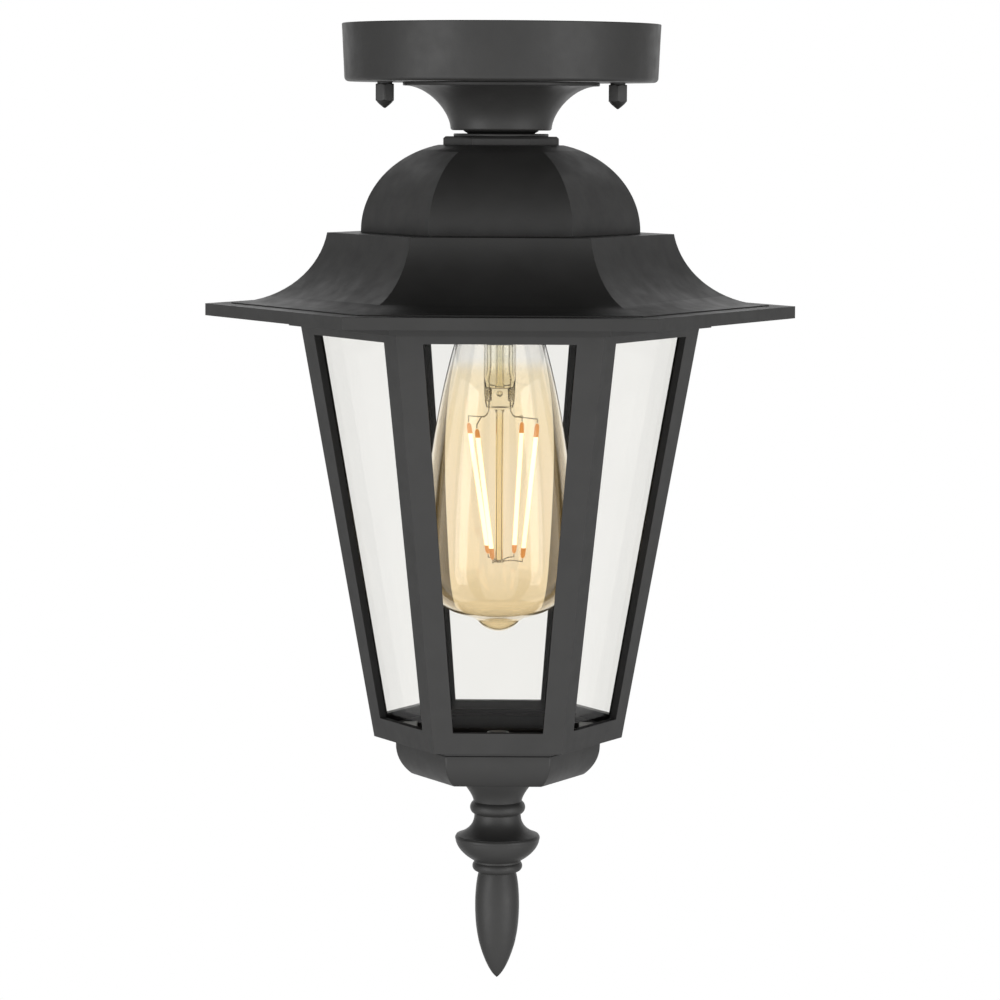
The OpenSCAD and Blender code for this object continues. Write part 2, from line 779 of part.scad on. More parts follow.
// Turned from the top down: cove, bead, cup, bead and drop
module finial() {
    u = finial_head_h / 39.2;
    bead_r = 2.9 * u;
    bead_a = finial_bead_d / 2 - bead_r;
    cup_a = finial_cup_d / 2;
    drop_a = finial_drop_d / 2;
    foot_z = -finial_head_h - finial_drop_h;
    color(black) translate([0, 0, z_finial]) difference() {
        rotate_extrude() polygon(concat(
            [[0, 0]],
            [[finial_top_d / 2, 0]],
            curve([finial_top_d / 2, -0.8], [13, -4 * u], [10.5, -6.5 * u], [9.8, -9.6 * u], 8),
            arc([bead_a, -12.4 * u], bead_r, 60, -66, 8),
            curve([9.4, -15.2 * u], [9.4, -19 * u], [11.5, -22 * u], [cup_a - 0.5, -23.7 * u], 8),
            arc([cup_a - 1.3, -24.9 * u], 1.3, 50, -20, 4),
            curve([cup_a - 0.15, -25.5 * u], [cup_a - 0.6, -29 * u], [13.5, -32 * u], [9.5, -34.2 * u], 8),
            arc([7.9, -36.5 * u], 2.25, 45, -75, 6),
            curve(
                [drop_a - 1.3, -finial_head_h],
                [drop_a + 0.45, -finial_head_h - 0.16 * finial_drop_h],
                [drop_a + 0.45, -finial_head_h - 0.45 * finial_drop_h],
                [drop_a - 1.35, -finial_head_h - 0.63 * finial_drop_h],
                12
            ),
            curve(
                [drop_a - 1.5, -finial_head_h - 0.65 * finial_drop_h],
                [drop_a - 2.35, -finial_head_h - 0.73 * finial_drop_h],
                [3.8, foot_z + 2.7],
                [0, foot_z],
                10
            )
        ));
        disc(tube_d + 2 * slip, -finial_bore_h, cut);
    }
}

module lampholder_bracket() {
    side_y = bracket_screw_y + 5;
    foot_z = holder_top_z;
    color(steel) difference() {
        translate([-bracket_w / 2, -side_y, foot_z]) cube([bracket_w, 2 * side_y, bracket_h]);
        translate([-bracket_w / 2 - cut, -side_y + bracket_t, foot_z + bracket_t])
            cube([bracket_w + 2 * cut, 2 * (side_y - bracket_t), bracket_h - 2 * bracket_t]);
        translate([-bracket_w / 2 - cut, -bracket_screw_y + 4, foot_z - cut])
            cube([bracket_w + 2 * cut, 2 * (bracket_screw_y - 4), bracket_t + 2 * cut]);
        disc(tube_d + 2 * slip, bracket_top_z - bracket_t - cut, bracket_top_z + cut);
        for (side = [-1, 1]) translate([0, side * bracket_screw_y, 0])
            disc(bracket_screw_d + 2 * slip, foot_z - cut, foot_z + bracket_t + cut);
    }
}

module bracket_screws() {
    color(steel) for (side = [-1, 1]) translate([0, side * bracket_screw_y, 0]) {
        disc(bracket_screw_d, holder_top_z - bracket_screw_depth, holder_top_z + bracket_t + weld);
        disc(bracket_head_d, holder_top_z + bracket_t, holder_top_z + bracket_t + bracket_head_t);
    }
}

module lampholder_body() {
    bore_top_z = cap_top_z + 2;
    color([0.93, 0.92, 0.88]) difference() {
        disc(holder_d, holder_foot_z, holder_top_z);
        disc(2 * (shell_r + shell_t + slip), holder_foot_z - cut, bore_top_z);
        for (side = [-1, 1]) {
            translate([0, side * bracket_screw_y, 0])
                disc(bracket_screw_d + 2 * slip, holder_top_z - bracket_screw_depth - 0.2, holder_top_z + cut);
            translate([0, 0, terminal_z]) rotate([0, side * 90, 0])
                disc(terminal_d + 2 * slip, holder_d / 2 - terminal_depth - 0.2, holder_d);
        }
    }
}

module lampholder_shell() {
    color(brass) ring(2 * (shell_r + shell_t), 2 * shell_r, holder_foot_z + 1, cap_top_z + 2);
}

module lampholder_contact() {
    color(brass) disc(contact_d + 1, cap_top_z + clear, cap_top_z + 2);
}

module terminal_screws() {
    head_x = terminal_x + copper_d / 2 + 0.1;
    color(brass) for (side = [-1, 1]) translate([0, 0, terminal_z]) rotate([0, side * 90, 0]) {
        disc(terminal_d, holder_d / 2 - terminal_depth, head_x + 0.1);
        disc(terminal_head_d, head_x, head_x + 1.9);
    }
}

// A quarter bend in the XZ plane that starts at the angle turn
module bend(x, z, turn) {
    translate([x, 0, z]) rotate([90, 0, 0]) rotate([0, 0, turn])
        rotate_extrude(angle = 90, $fn = 48) translate([lead_bend_r, 0]) circle(d = lead_d, $fn = 24);
}

// A straight piece of the lead along X, and one along Z
module level(from, to, z, d) {
    translate([from, 0, z]) rotate([0, 90, 0]) cylinder(h = to - from, d = d, $fn = 24);
}

module upright(x, foot_z, top_z, d) {
    translate([x, 0, foot_z]) cylinder(h = top_z - foot_z, d = d, $fn = 24);
}

// From the canopy down through the tube, out under the bracket and down to the terminal
module lead(tint) {
    in_x = lead_x + lead_bend_r;
    out_x = terminal_x - lead_bend_r;
    insulation_z = terminal_z + 4;
    color(tint) {
        level(in_x, lead_end_x, lead_top_z, lead_d);
        bend(in_x, lead_top_z - lead_bend_r, 90);
        upright(lead_x, lead_under_z + lead_bend_r, lead_top_z - lead_bend_r, lead_d);
        bend(in_x, lead_under_z + lead_bend_r, 180);
        level(in_x, out_x, lead_under_z, lead_d);
        bend(out_x, lead_under_z - lead_bend_r, 0);
        upright(terminal_x, insulation_z, lead_under_z - lead_bend_r, lead_d);
    }
    color(brass) {
        level(lead_end_x, lead_end_x + strip_len, lead_top_z, copper_d);
        upright(terminal_x, terminal_z + 1.6, insulation_z, copper_d);
    }
}

module lead_live() {
    lead([0.08, 0.08, 0.08]);
}

module lead_neutral() {
    mirror([1, 0, 0]) lead([0.9, 0.9, 0.88]);
}

// The bulb's outline from its neck to its tip, taken in by inset
function bulb_outline(inset) = let (
    belly_r = bulb_d / 2 - inset,
    bowl_r = bulb_bowl_r - inset,
    bowl_c = [bulb_d / 2 - bulb_bowl_r, bulb_belly_z],
    base_r = bulb_base_r - inset,
    base_c = [0, bulb_foot_z + bulb_tip_h + bulb_base_r],
    lean = atan2(base_c[1] - bowl_c[1], -bowl_c[0])
) concat(
    curve(
        [bulb_neck_r - inset, cap_foot_z],
        [bulb_neck_r + 7.2 - inset, cap_foot_z - 18.5],
        [belly_r, cap_foot_z - 60.5],
        [belly_r, bulb_belly_z],
        18
    ),
    arc(bowl_c, bowl_r, -5, lean - 180, 8),
    arc(base_c, base_r, lean - 180 - 1, -90, 4)
);

module bulb_glass() {
    color([0.85, 0.6, 0.3, 0.4]) difference() {
        union() {
            rotate_extrude() polygon(concat([[0, cap_foot_z]], bulb_outline(0)));
            disc(2 * bulb_neck_r, cap_foot_z - weld, cap_foot_z + 6);
            intersection() {
                translate([0, 0, bulb_foot_z + bulb_tip_r]) sphere(r = bulb_tip_r);
                disc(bulb_tip_r * 3, bulb_foot_z - cut, bulb_foot_z + bulb_tip_h + 0.6);
            }
        }
        rotate_extrude() polygon(concat([[0, cap_foot_z]], bulb_outline(bulb_wall)));
        disc(2 * (bulb_neck_r - bulb_wall), cap_foot_z - cut, cap_foot_z + 6 + cut);
    }
}

module bulb_cap() {
    cone_z = cap_top_z - contact_h - insulator_h - cap_cone_h;
    cone_top_z = cone_z + cap_cone_h;
    r = bulb_cap_d / 2;
    color(steel) rotate_extrude() polygon([
        [r - cap_skin, cap_foot_z], [r, cap_foot_z], [r, cone_z], [cap_cone_r, cone_top_z],
        [cap_cone_r - 0.6, cone_top_z], [r - cap_skin, cone_z - 0.4]
    ]);
}

module bulb_insulator() {
    foot_z = cap_top_z - contact_h - insulator_h;
    color([0.07, 0.07, 0.08]) translate([0, 0, foot_z])
        cylinder(h = insulator_h, d1 = 2 * cap_cone_r, d2 = contact_d + 1);
}

module bulb_contact() {
    color(steel) disc(contact_d, cap_top_z - contact_h, cap_top_z);
}

// A flared glass tube that closes on a pinch and carries a thin rod
module bulb_stem() {
    flare_h = 11;
    flare_z = cap_foot_z - 7;
    flare_r = bulb_neck_r - bulb_wall - clear;
    stem_r = stem_d / 2;
    color([0.9, 0.92, 0.9, 0.4]) {
        difference() {
            union() {
                translate([0, 0, flare_z]) cylinder(h = flare_h, r1 = stem_r, r2 = flare_r);
                disc(stem_d, stem_foot_z + pinch_h, flare_z + weld);
            }
            translate([0, 0, flare_z])
                cylinder(h = flare_h + weld, r1 = stem_r - stem_wall, r2 = flare_r - stem_wall);
            disc(stem_d - 2 * stem_wall, stem_foot_z + pinch_h + 2, flare_z + 2 * weld);
        }
        translate([-pinch_w / 2, -pinch_t / 2, stem_foot_z]) cube([pinch_w, pinch_t, pinch_h + weld]);
        disc(rod_d, rod_foot_z, stem_foot_z + weld);
    }
}

function around(r, k, z) = let (a = filament_turn + 360 * k / filament_count) [r * cos(a), r * sin(a), z];

// Wires from the pinch to the filaments' heads, and a star that ties their feet to the rod
module bulb_wires() {
    hub_z = filament_foot_z - 2.4;
    wire_z = stem_foot_z - wire_r - slip;
    knee_z = wire_z - 1.2;
    color(steel) {
        for (k = [0:filament_count - 1]) {
            side = cos(filament_turn + 360 * k / filament_count) > 0 ? 1 : -1;
            bar([side * knee_x, 0, knee_z], around(filament_top_r, k, filament_top_z + joint_gap), wire_r);
        }
        for (side = [-1, 1]) {
            bar([side * wire_x, 0, wire_z], [side * knee_x, 0, knee_z], wire_r);
            translate([side * knee_x, 0, knee_z]) sphere(r = knee_r);
        }
        difference() {
            union() {
                disc(hub_d, hub_z - hub_h / 2, hub_z + hub_h / 2);
                for (k = [0:filament_count - 1])
                    bar([0, 0, hub_z], around(filament_foot_r, k, filament_foot_z - joint_gap), wire_r);
            }
            disc(rod_d + 2 * slip, hub_z - hub_h, hub_z + hub_h);
        }
    }
}

module bulb_filaments() {
    color([1, 0.82, 0.45]) for (k = [0:filament_count - 1])
        bar(around(filament_top_r, k, filament_top_z), around(filament_foot_r, k, filament_foot_z), filament_d / 2);
}

mounting_strap();
canopy_studs();
stud_nuts();
ground_screw();
canopy();
cap_nuts();
lock_washer();
tube_nuts();
threaded_tube();
neck();
taper_spacer();
disc_washer();
dome();
dome_screws();
roof();
cage();
cage_screws();
pane(270);  // glass_front
pane(330);  // glass_front_right
pane(30);  // glass_back_right
pane(90);  // glass_back
pane(150);  // glass_back_left
pane(210);  // glass_front_left
glass_clips();
clip_screws();
pan_bridge();
finial_tube();
finial_tube_nuts();
pan();
finial_washer();
finial();
lampholder_bracket();
bracket_screws();
lampholder_body();
lampholder_shell();
lampholder_contact();
terminal_screws();
lead_live();
lead_neutral();
bulb_glass();
bulb_cap();
bulb_insulator();
bulb_contact();
bulb_stem();
bulb_wires();
bulb_filaments();
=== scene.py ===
import json
import math

import bmesh
import bpy
from mathutils import Matrix, Vector


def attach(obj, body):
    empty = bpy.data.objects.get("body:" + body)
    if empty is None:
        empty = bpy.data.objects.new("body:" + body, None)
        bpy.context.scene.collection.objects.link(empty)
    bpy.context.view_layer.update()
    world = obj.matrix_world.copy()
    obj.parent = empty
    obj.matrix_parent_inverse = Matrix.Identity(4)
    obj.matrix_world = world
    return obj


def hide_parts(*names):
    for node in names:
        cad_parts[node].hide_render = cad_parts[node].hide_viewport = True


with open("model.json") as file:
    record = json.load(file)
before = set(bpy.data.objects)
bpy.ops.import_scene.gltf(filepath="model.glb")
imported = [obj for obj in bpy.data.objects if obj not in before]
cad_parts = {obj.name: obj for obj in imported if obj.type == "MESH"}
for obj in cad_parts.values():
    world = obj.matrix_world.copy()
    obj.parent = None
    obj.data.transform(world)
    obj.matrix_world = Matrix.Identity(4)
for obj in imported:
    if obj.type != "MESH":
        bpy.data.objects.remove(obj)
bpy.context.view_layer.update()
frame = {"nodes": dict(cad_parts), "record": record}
nodes = frame["nodes"]
mm = 0.001
print("frame loaded")

# The camera stands in front of the lantern, level with the canopy, and looks a little down
photoCamera = {
    "distance": 1.5332,      # metres from the lantern's axis
    "height": -0.0368,       # of the lens, from the ceiling
    "side": 0.00032,
    "pitch": 5.712,          # degrees down
    "roll": 0.3,
    "focalLength": 137.84,   # mm on a 36 mm sensor
}


def placeCamera():
    data = bpy.data.cameras.new("photoCamera")
    data.lens = photoCamera["focalLength"]
    data.sensor_width = 36
    data.clip_end = 20
    camera = bpy.data.objects.new("photoCamera", data)
    bpy.context.scene.collection.objects.link(camera)
    turn = Matrix.Rotation(math.radians(90 - photoCamera["pitch"]), 4, "X")
    roll = Matrix.Rotation(math.radians(photoCamera["roll"]), 4, "Z")
    place = Matrix.Translation((photoCamera["side"], -photoCamera["distance"], photoCamera["height"]))
    camera.matrix_world = place @ turn @ roll
    bpy.context.scene.camera = camera


# White paper behind the lantern, and soft light from walls and two tall soft boxes in front
studio = {
    "walls": 0.03,           # light from every side
    "paper": 1.0,
    # where a reflection begins to show the paper and where it shows it in full, 1 being right behind
    "paperInGloss": (0.55, 0.85),
    "paperInGlass": (-0.45, 0.05),
    "fills": {               # direction that the light comes from, how tight it is, strength
        "belowFront": ((0, -0.6, -0.8), 3, 0.62),
        "front": ((0, -1, -0.1), 6, 0.85),
        "left": ((-1, 0, -0.4), 3, 0.48),
        "right": ((1, 0, -0.4), 3, 0.58),
    },
    "softBoxes": {           # place, width, height, watts
        "left": ((-1.55, -1.25, -0.40), 1.4, 1.9, 15.0),
        "right": ((1.55, -1.25, -0.40), 1.4, 1.9, 13.6),
    },
    "aim": (0, 0, -0.22),    # the point that the soft boxes face
}


def addNode(tree, kind, **values):
    node = tree.nodes.new(kind)
    for name, value in values.items():
        if hasattr(node, name):
            setattr(node, name, value)
        else:
            node.inputs[name].default_value = value
    return node


def calculate(tree, operation, *values):
    node = addNode(tree, "ShaderNodeMath", operation=operation)
    for socket, value in zip(node.inputs, values):
        if isinstance(value, (int, float)):
            socket.default_value = value
        else:
            tree.links.new(value, socket)
    return node.outputs[0]


def colorRamp(tree, factor, *stops):
    node = addNode(tree, "ShaderNodeValToRGB")
    elements = node.color_ramp.elements
    while len(elements) < len(stops):
        elements.new(0.5)
    for element, (position, color) in zip(elements, stops):
        element.position = position
        element.color = (*color[:3], 1)
    tree.links.new(factor, node.inputs[0])
    return node.outputs[0]


def grey(value):
    return (value, value, value, 1)


def buildWorld():
    world = bpy.data.worlds.new("studio")
    bpy.context.scene.world = world
    world.use_nodes = True
    tree = world.node_tree
    tree.nodes.clear()
    direction = addNode(tree, "ShaderNodeTexCoord").outputs["Generated"]

    def facing(toward, lowest=0.0):
        dot = addNode(tree, "ShaderNodeVectorMath", operation="DOT_PRODUCT")
        tree.links.new(direction, dot.inputs[0])
        dot.inputs[1].default_value = Vector(toward).normalized()
        return calculate(tree, "MAXIMUM", dot.outputs["Value"], lowest)

    def behind(start, full):
        share = addNode(tree, "ShaderNodeMapRange", interpolation_type="SMOOTHSTEP")
        share.inputs["From Min"].default_value = start
        share.inputs["From Max"].default_value = full
        tree.links.new(facing((0, 1, 0), -1.0), share.inputs["Value"])
        return share.outputs[0]

    light = studio["walls"]
    for toward, tightness, strength in studio["fills"].values():
        share = calculate(tree, "POWER", facing(toward), tightness)
        light = calculate(tree, "MULTIPLY_ADD", share, strength, light)
    lit = addNode(tree, "ShaderNodeBackground", Color=grey(1))
    tree.links.new(light, lit.inputs["Strength"])
    paper = addNode(tree, "ShaderNodeBackground", Color=grey(1), Strength=studio["paper"])
    # soft gloss sees the paper only behind the lantern, clear glass also at the sides
    path = addNode(tree, "ShaderNodeLightPath")
    clear = calculate(tree, "MULTIPLY", path.outputs["Is Singular Ray"], behind(*studio["paperInGlass"]))
    seen = calculate(tree, "MAXIMUM", behind(*studio["paperInGloss"]), clear)
    glossy = calculate(tree, "MULTIPLY", path.outputs["Is Glossy Ray"], seen)
    direct = calculate(tree, "MAXIMUM", path.outputs["Is Camera Ray"], path.outputs["Is Transmission Ray"])
    mix = addNode(tree, "ShaderNodeMixShader")
    tree.links.new(calculate(tree, "MAXIMUM", direct, glossy), mix.inputs[0])
    tree.links.new(lit.outputs[0], mix.inputs[1])
    tree.links.new(paper.outputs[0], mix.inputs[2])
    output = addNode(tree, "ShaderNodeOutputWorld")
    tree.links.new(mix.outputs[0], output.inputs[0])


def hangSoftBox(name, place, width, height, watts):
    data = bpy.data.lights.new(name, "AREA")
    data.shape = "RECTANGLE"
    data.size, data.size_y = width, height
    data.energy = watts
    light = bpy.data.objects.new(name, data)
    bpy.context.scene.collection.objects.link(light)
    aim = Vector(studio["aim"]) - Vector(place)
    light.matrix_world = Matrix.Translation(place) @ aim.to_track_quat("-Z", "Y").to_matrix().to_4x4()


placeCamera()
buildWorld()
for name, box in studio["softBoxes"].items():
    hangSoftBox(name + "SoftBox", *box)
scene = bpy.context.scene
scene.view_settings.view_transform = "Standard"
scene.cycles.max_bounces = 18
scene.cycles.transmission_bounces = 16
scene.cycles.transparent_max_bounces = 24
scene.cycles.glossy_bounces = 6
scene.cycles.caustics_reflective = False
scene.cycles.caustics_refractive = False
print("camera and studio placed")


def newMaterial(name):
    material = bpy.data.materials.new(name)
    material.use_nodes = True
    tree = material.node_tree
    tree.nodes.clear()
    return material, tree, addNode(tree, "ShaderNodeOutputMaterial")


noiseSpan = (0.3, 0.7)       # most of the noise lies between these


def noise(tree, scale, detail=3.0, roughness=0.55):
    place = addNode(tree, "ShaderNodeTexCoord").outputs["Object"]
    node = addNode(tree, "ShaderNodeTexNoise", Scale=scale, Detail=detail, Roughness=roughness)
    tree.links.new(place, node.inputs["Vector"])
    return node.outputs[0]


def between(tree, factor, low, high):
    node = addNode(tree, "ShaderNodeMapRange")
    node.inputs["From Min"].default_value = noiseSpan[0]
    node.inputs["From Max"].default_value = noiseSpan[1]
    node.inputs["To Min"].default_value = low
    node.inputs["To Max"].default_value = high
    tree.links.new(factor, node.inputs["Value"])
    return node.outputs[0]


def tinted(color, factor):
    return [min(1, c * factor) for c in color]


def mottled(tree, factor, darkest, lightest):
    return colorRamp(tree, factor, (noiseSpan[0], darkest), (noiseSpan[1], lightest))


paint = {
    "color": (0.0320, 0.0315, 0.0305),
    "cloud": 0.10,           # how far its tone wanders
    "clouds": 45,            # of them per metre
    "roughness": (0.42, 0.54),
    "patches": 130,          # of more and less gloss per metre
    "specular": 0.62,
    "grain": 1500,           # grains of the powder per metre
    "grainDepth": 0.00007,
    "edge": 0.0003,          # radius that light finds on a sharp edge
}


def powderCoat():
    material, tree, output = newMaterial("powderCoat")
    shader = addNode(tree, "ShaderNodeBsdfPrincipled")
    shader.inputs["Specular IOR Level"].default_value = paint["specular"]
    darkest, lightest = (tinted(paint["color"], 1 + sign * paint["cloud"]) for sign in (-1, 1))
    tone = mottled(tree, noise(tree, paint["clouds"], 5), darkest, lightest)
    tree.links.new(tone, shader.inputs["Base Color"])
    gloss = between(tree, noise(tree, paint["patches"], 4), *paint["roughness"])
    tree.links.new(gloss, shader.inputs["Roughness"])
    edge = addNode(tree, "ShaderNodeBevel", samples=4, Radius=paint["edge"])
    bump = addNode(tree, "ShaderNodeBump", Strength=0.4, Distance=paint["grainDepth"])
    tree.links.new(noise(tree, paint["grain"], 2, 0.6), bump.inputs["Height"])
    tree.links.new(edge.outputs[0], bump.inputs["Normal"])
    tree.links.new(bump.outputs[0], shader.inputs["Normal"])
    tree.links.new(shader.outputs[0], output.inputs[0])
    return material


def solidFinish(name, color, roughness, metallic=0.0, coat=0.0, wander=0.06, scale=260, depth=0.00002):
    material, tree, output = newMaterial(name)
    shader = addNode(tree, "ShaderNodeBsdfPrincipled", Metallic=metallic)
    shader.inputs["Coat Weight"].default_value = coat
    tone = mottled(tree, noise(tree, scale, 5), tinted(color, 1 - wander), tinted(color, 1 + wander))
    tree.links.new(tone, shader.inputs["Base Color"])
    tree.links.new(between(tree, noise(tree, scale * 2.6, 4), *roughness), shader.inputs["Roughness"])
    bump = addNode(tree, "ShaderNodeBump", Strength=0.2, Distance=depth)
    tree.links.new(noise(tree, scale * 9, 3), bump.inputs["Height"])
    tree.links.new(bump.outputs[0], shader.inputs["Normal"])
    tree.links.new(shader.outputs[0], output.inputs[0])
    return material


paneGlass = {
    "passes": (0.967, 0.965, 0.956),
    "smear": 0.010,          # how much its faint marks take away
    "straightOn": 0.010,     # share of light that it mirrors
    "falloff": 6.0,          # how late that share grows toward a flat angle
    "litInside": 0.55,       # share of the room's light that reaches what is behind it
}


def clearPane():
    material, tree, output = newMaterial("clearPane")
    tone = colorRamp(
        tree, noise(tree, 26, 6),
        (0.35, paneGlass["passes"]), (0.75, [c - paneGlass["smear"] for c in paneGlass["passes"]])
    )
    through = addNode(tree, "ShaderNodeBsdfTransparent")
    tree.links.new(tone, through.inputs["Color"])
    gloss = addNode(tree, "ShaderNodeBsdfGlossy", Color=grey(1), Roughness=0)
    angle = addNode(tree, "ShaderNodeLayerWeight", Blend=0.5).outputs["Facing"]
    straightOn = paneGlass["straightOn"]
    flat = calculate(tree, "POWER", angle, paneGlass["falloff"])
    share = calculate(tree, "MULTIPLY_ADD", flat, 1 - straightOn, straightOn)
    mix = addNode(tree, "ShaderNodeMixShader")
    tree.links.new(share, mix.inputs[0])
    tree.links.new(through.outputs[0], mix.inputs[1])
    tree.links.new(gloss.outputs[0], mix.inputs[2])
    dimmed = addNode(tree, "ShaderNodeBsdfTransparent", Color=grey(paneGlass["litInside"]))
    path = addNode(tree, "ShaderNodeLightPath")
    inward = addNode(tree, "ShaderNodeMixShader")
    # clear reflections, such as those on the bulb, keep their strength
    dull = calculate(tree, "SUBTRACT", path.outputs["Is Glossy Ray"], path.outputs["Is Singular Ray"])
    indirect = calculate(tree, "MAXIMUM", path.outputs["Is Shadow Ray"], path.outputs["Is Diffuse Ray"])
    tree.links.new(calculate(tree, "MAXIMUM", indirect, dull), inward.inputs[0])
    tree.links.new(mix.outputs[0], inward.inputs[1])
    tree.links.new(dimmed.outputs[0], inward.inputs[2])
    tree.links.new(inward.outputs[0], output.inputs[0])
    return material


def blownGlass(name, glow, *stops):
    material, tree, output = newMaterial(name)
    place = addNode(tree, "ShaderNodeTexCoord").outputs["Object"]
    axes = addNode(tree, "ShaderNodeSeparateXYZ")
    tree.links.new(place, axes.inputs[0])
    rise = addNode(tree, "ShaderNodeMapRange")
    rise.inputs["From Min"].default_value = stops[0][0]
    rise.inputs["From Max"].default_value = stops[-1][0]
    tree.links.new(axes.outputs["Z"], rise.inputs["Value"])
    reach = stops[-1][0] - stops[0][0]
    tone = colorRamp(tree, rise.outputs[0], *[((z - stops[0][0]) / reach, color) for z, color in stops])
    glass = addNode(tree, "ShaderNodeBsdfPrincipled", Roughness=0.0, IOR=1.5)
    glass.inputs["Transmission Weight"].default_value = 1
    tree.links.new(tone, glass.inputs["Base Color"])
    if glow:
        # the filaments light up the tint, but not the clear neck
        height, soft, color, strength = glow
        share = addNode(tree, "ShaderNodeMapRange", interpolation_type="SMOOTHSTEP")
        share.inputs["From Min"].default_value = height + soft
        share.inputs["From Max"].default_value = height - soft
        tree.links.new(axes.outputs["Z"], share.inputs["Value"])
        glass.inputs["Emission Color"].default_value = (*color, 1)
        lit = calculate(tree, "MULTIPLY", share.outputs[0], strength)
        tree.links.new(lit, glass.inputs["Emission Strength"])
    # light passes straight through, so that what is inside isn't dark
    through = addNode(tree, "ShaderNodeBsdfTransparent")
    tree.links.new(tone, through.inputs["Color"])
    path = addNode(tree, "ShaderNodeLightPath")
    mix = addNode(tree, "ShaderNodeMixShader")
    straight = calculate(tree, "MAXIMUM", path.outputs["Is Shadow Ray"], path.outputs["Is Diffuse Ray"])
    tree.links.new(straight, mix.inputs[0])
    tree.links.new(glass.outputs[0], mix.inputs[1])
    tree.links.new(through.outputs[0], mix.inputs[2])
    tree.links.new(mix.outputs[0], output.inputs[0])
    return material


# Heights in metres, from the foot up
bulbTint = (
    (-0.2432, (0.950, 0.845, 0.640)),
    (-0.226, (0.968, 0.862, 0.675)),
    (-0.212, (0.985, 0.897, 0.745)),
    (-0.185, (0.990, 0.905, 0.765)),
    (-0.160, (0.990, 0.908, 0.750)),
    (-0.1385, (0.990, 0.930, 0.805)),
    (-0.1335, (0.990, 0.985, 0.974)),
    (-0.100, (0.990, 0.990, 0.985)),
)
bulbGlow = (-0.142, 0.012, (1.0, 0.66, 0.16), 0.018)   # height, softness, color, strength

stemTint = (
    (-0.25, (0.93, 0.83, 0.58)),
    (-0.158, (0.93, 0.83, 0.58)),
    (-0.153, (0.95, 0.93, 0.84)),
    (-0.09, (0.975, 0.965, 0.925)),
)

filamentGlow = {
    "hot": (1.0, 0.93, 0.74),
    "warm": (1.0, 0.66, 0.26),
    "strength": 1.8,
    "mirrored": 0.4,         # share of it in mirror images on the bulb's wall
    "endColor": (0.92, 0.40, 0.12),
    "endStrength": 0.75,
    "litFrom": -0.2090,      # the lit part, in metres
    "litTo": -0.1640,
}


def glowingWire():
    material, tree, output = newMaterial("glowingFilament")
    place = addNode(tree, "ShaderNodeTexCoord").outputs["Object"]
    axes = addNode(tree, "ShaderNodeSeparateXYZ")
    tree.links.new(place, axes.inputs[0])
    foot = calculate(tree, "GREATER_THAN", axes.outputs["Z"], filamentGlow["litFrom"])
    head = calculate(tree, "LESS_THAN", axes.outputs["Z"], filamentGlow["litTo"])
    lit = calculate(tree, "MULTIPLY", foot, head)
    core = addNode(tree, "ShaderNodeEmission")
    # a ray that glass bends counts as glossy too, so it is taken off
    path = addNode(tree, "ShaderNodeLightPath")
    glossy, bent = path.outputs["Is Glossy Ray"], path.outputs["Is Transmission Ray"]
    mirrored = calculate(tree, "MAXIMUM", calculate(tree, "SUBTRACT", glossy, bent), 0.0)
    strength = filamentGlow["strength"]
    loss = strength * (filamentGlow["mirrored"] - 1)
    tree.links.new(calculate(tree, "MULTIPLY_ADD", mirrored, loss, strength), core.inputs["Strength"])
    rim = addNode(tree, "ShaderNodeLayerWeight", Blend=0.5).outputs["Facing"]
    wander = calculate(tree, "MULTIPLY_ADD", noise(tree, 700, 2), 0.3, rim)
    tone = colorRamp(tree, wander, (0.45, filamentGlow["hot"]), (0.95, filamentGlow["warm"]))
    tree.links.new(tone, core.inputs["Color"])
    end = addNode(tree, "ShaderNodeBsdfPrincipled", Roughness=0.5)
    endColor = filamentGlow["endColor"]
    coat = mottled(tree, noise(tree, 900, 2), tinted(endColor, 0.8), endColor)
    tree.links.new(coat, end.inputs["Base Color"])
    tree.links.new(coat, end.inputs["Emission Color"])
    end.inputs["Emission Strength"].default_value = filamentGlow["endStrength"]
    mix = addNode(tree, "ShaderNodeMixShader")
    tree.links.new(lit, mix.inputs[0])
    tree.links.new(end.outputs[0], mix.inputs[1])
    tree.links.new(core.outputs[0], mix.inputs[2])
    tree.links.new(mix.outputs[0], output.inputs[0])
    return material


finish = {
    "black_paint": powderCoat(),
    "zinc_steel": solidFinish("zincSteel", (0.60, 0.60, 0.58), (0.28, 0.45), metallic=1.0),
    "brass": solidFinish("plainBrass", (0.74, 0.53, 0.24), (0.22, 0.40), metallic=1.0),
    "nickel": solidFinish("nickelPlate", (0.46, 0.44, 0.39), (0.20, 0.34), metallic=1.0),
    "green_screw": solidFinish("greenDye", (0.02, 0.20, 0.05), (0.30, 0.45), metallic=0.4),
    "porcelain": solidFinish(
        "glazedPorcelain", (0.80, 0.79, 0.74), (0.12, 0.22), coat=0.6, wander=0.03, scale=60
    ),
    "black_insulation": solidFinish("blackInsulation", (0.014, 0.014, 0.014), (0.36, 0.5)),
    "white_insulation": solidFinish("whiteInsulation", (0.76, 0.76, 0.73), (0.36, 0.5), wander=0.03),
    "black_glass": solidFinish("blackGlass", (0.008, 0.008, 0.009), (0.05, 0.12), coat=0.5),
    "pane_glass": clearPane(),
    "bulb_glass": blownGlass("bulbGlass", bulbGlow, *bulbTint),
    "stem_glass": blownGlass("stemGlass", None, *stemTint),
    "filament": glowingWire(),
}
copper = solidFinish("bareCopper", (0.78, 0.36, 0.20), (0.25, 0.40), metallic=1.0)

slots = {part["node"]: part["material_slot"] for part in frame["record"]["subparts"]}
for name, node in nodes.items():
    node.data.materials.clear()
    node.data.materials.append(finish[slots[name]])
print("finishes mixed")


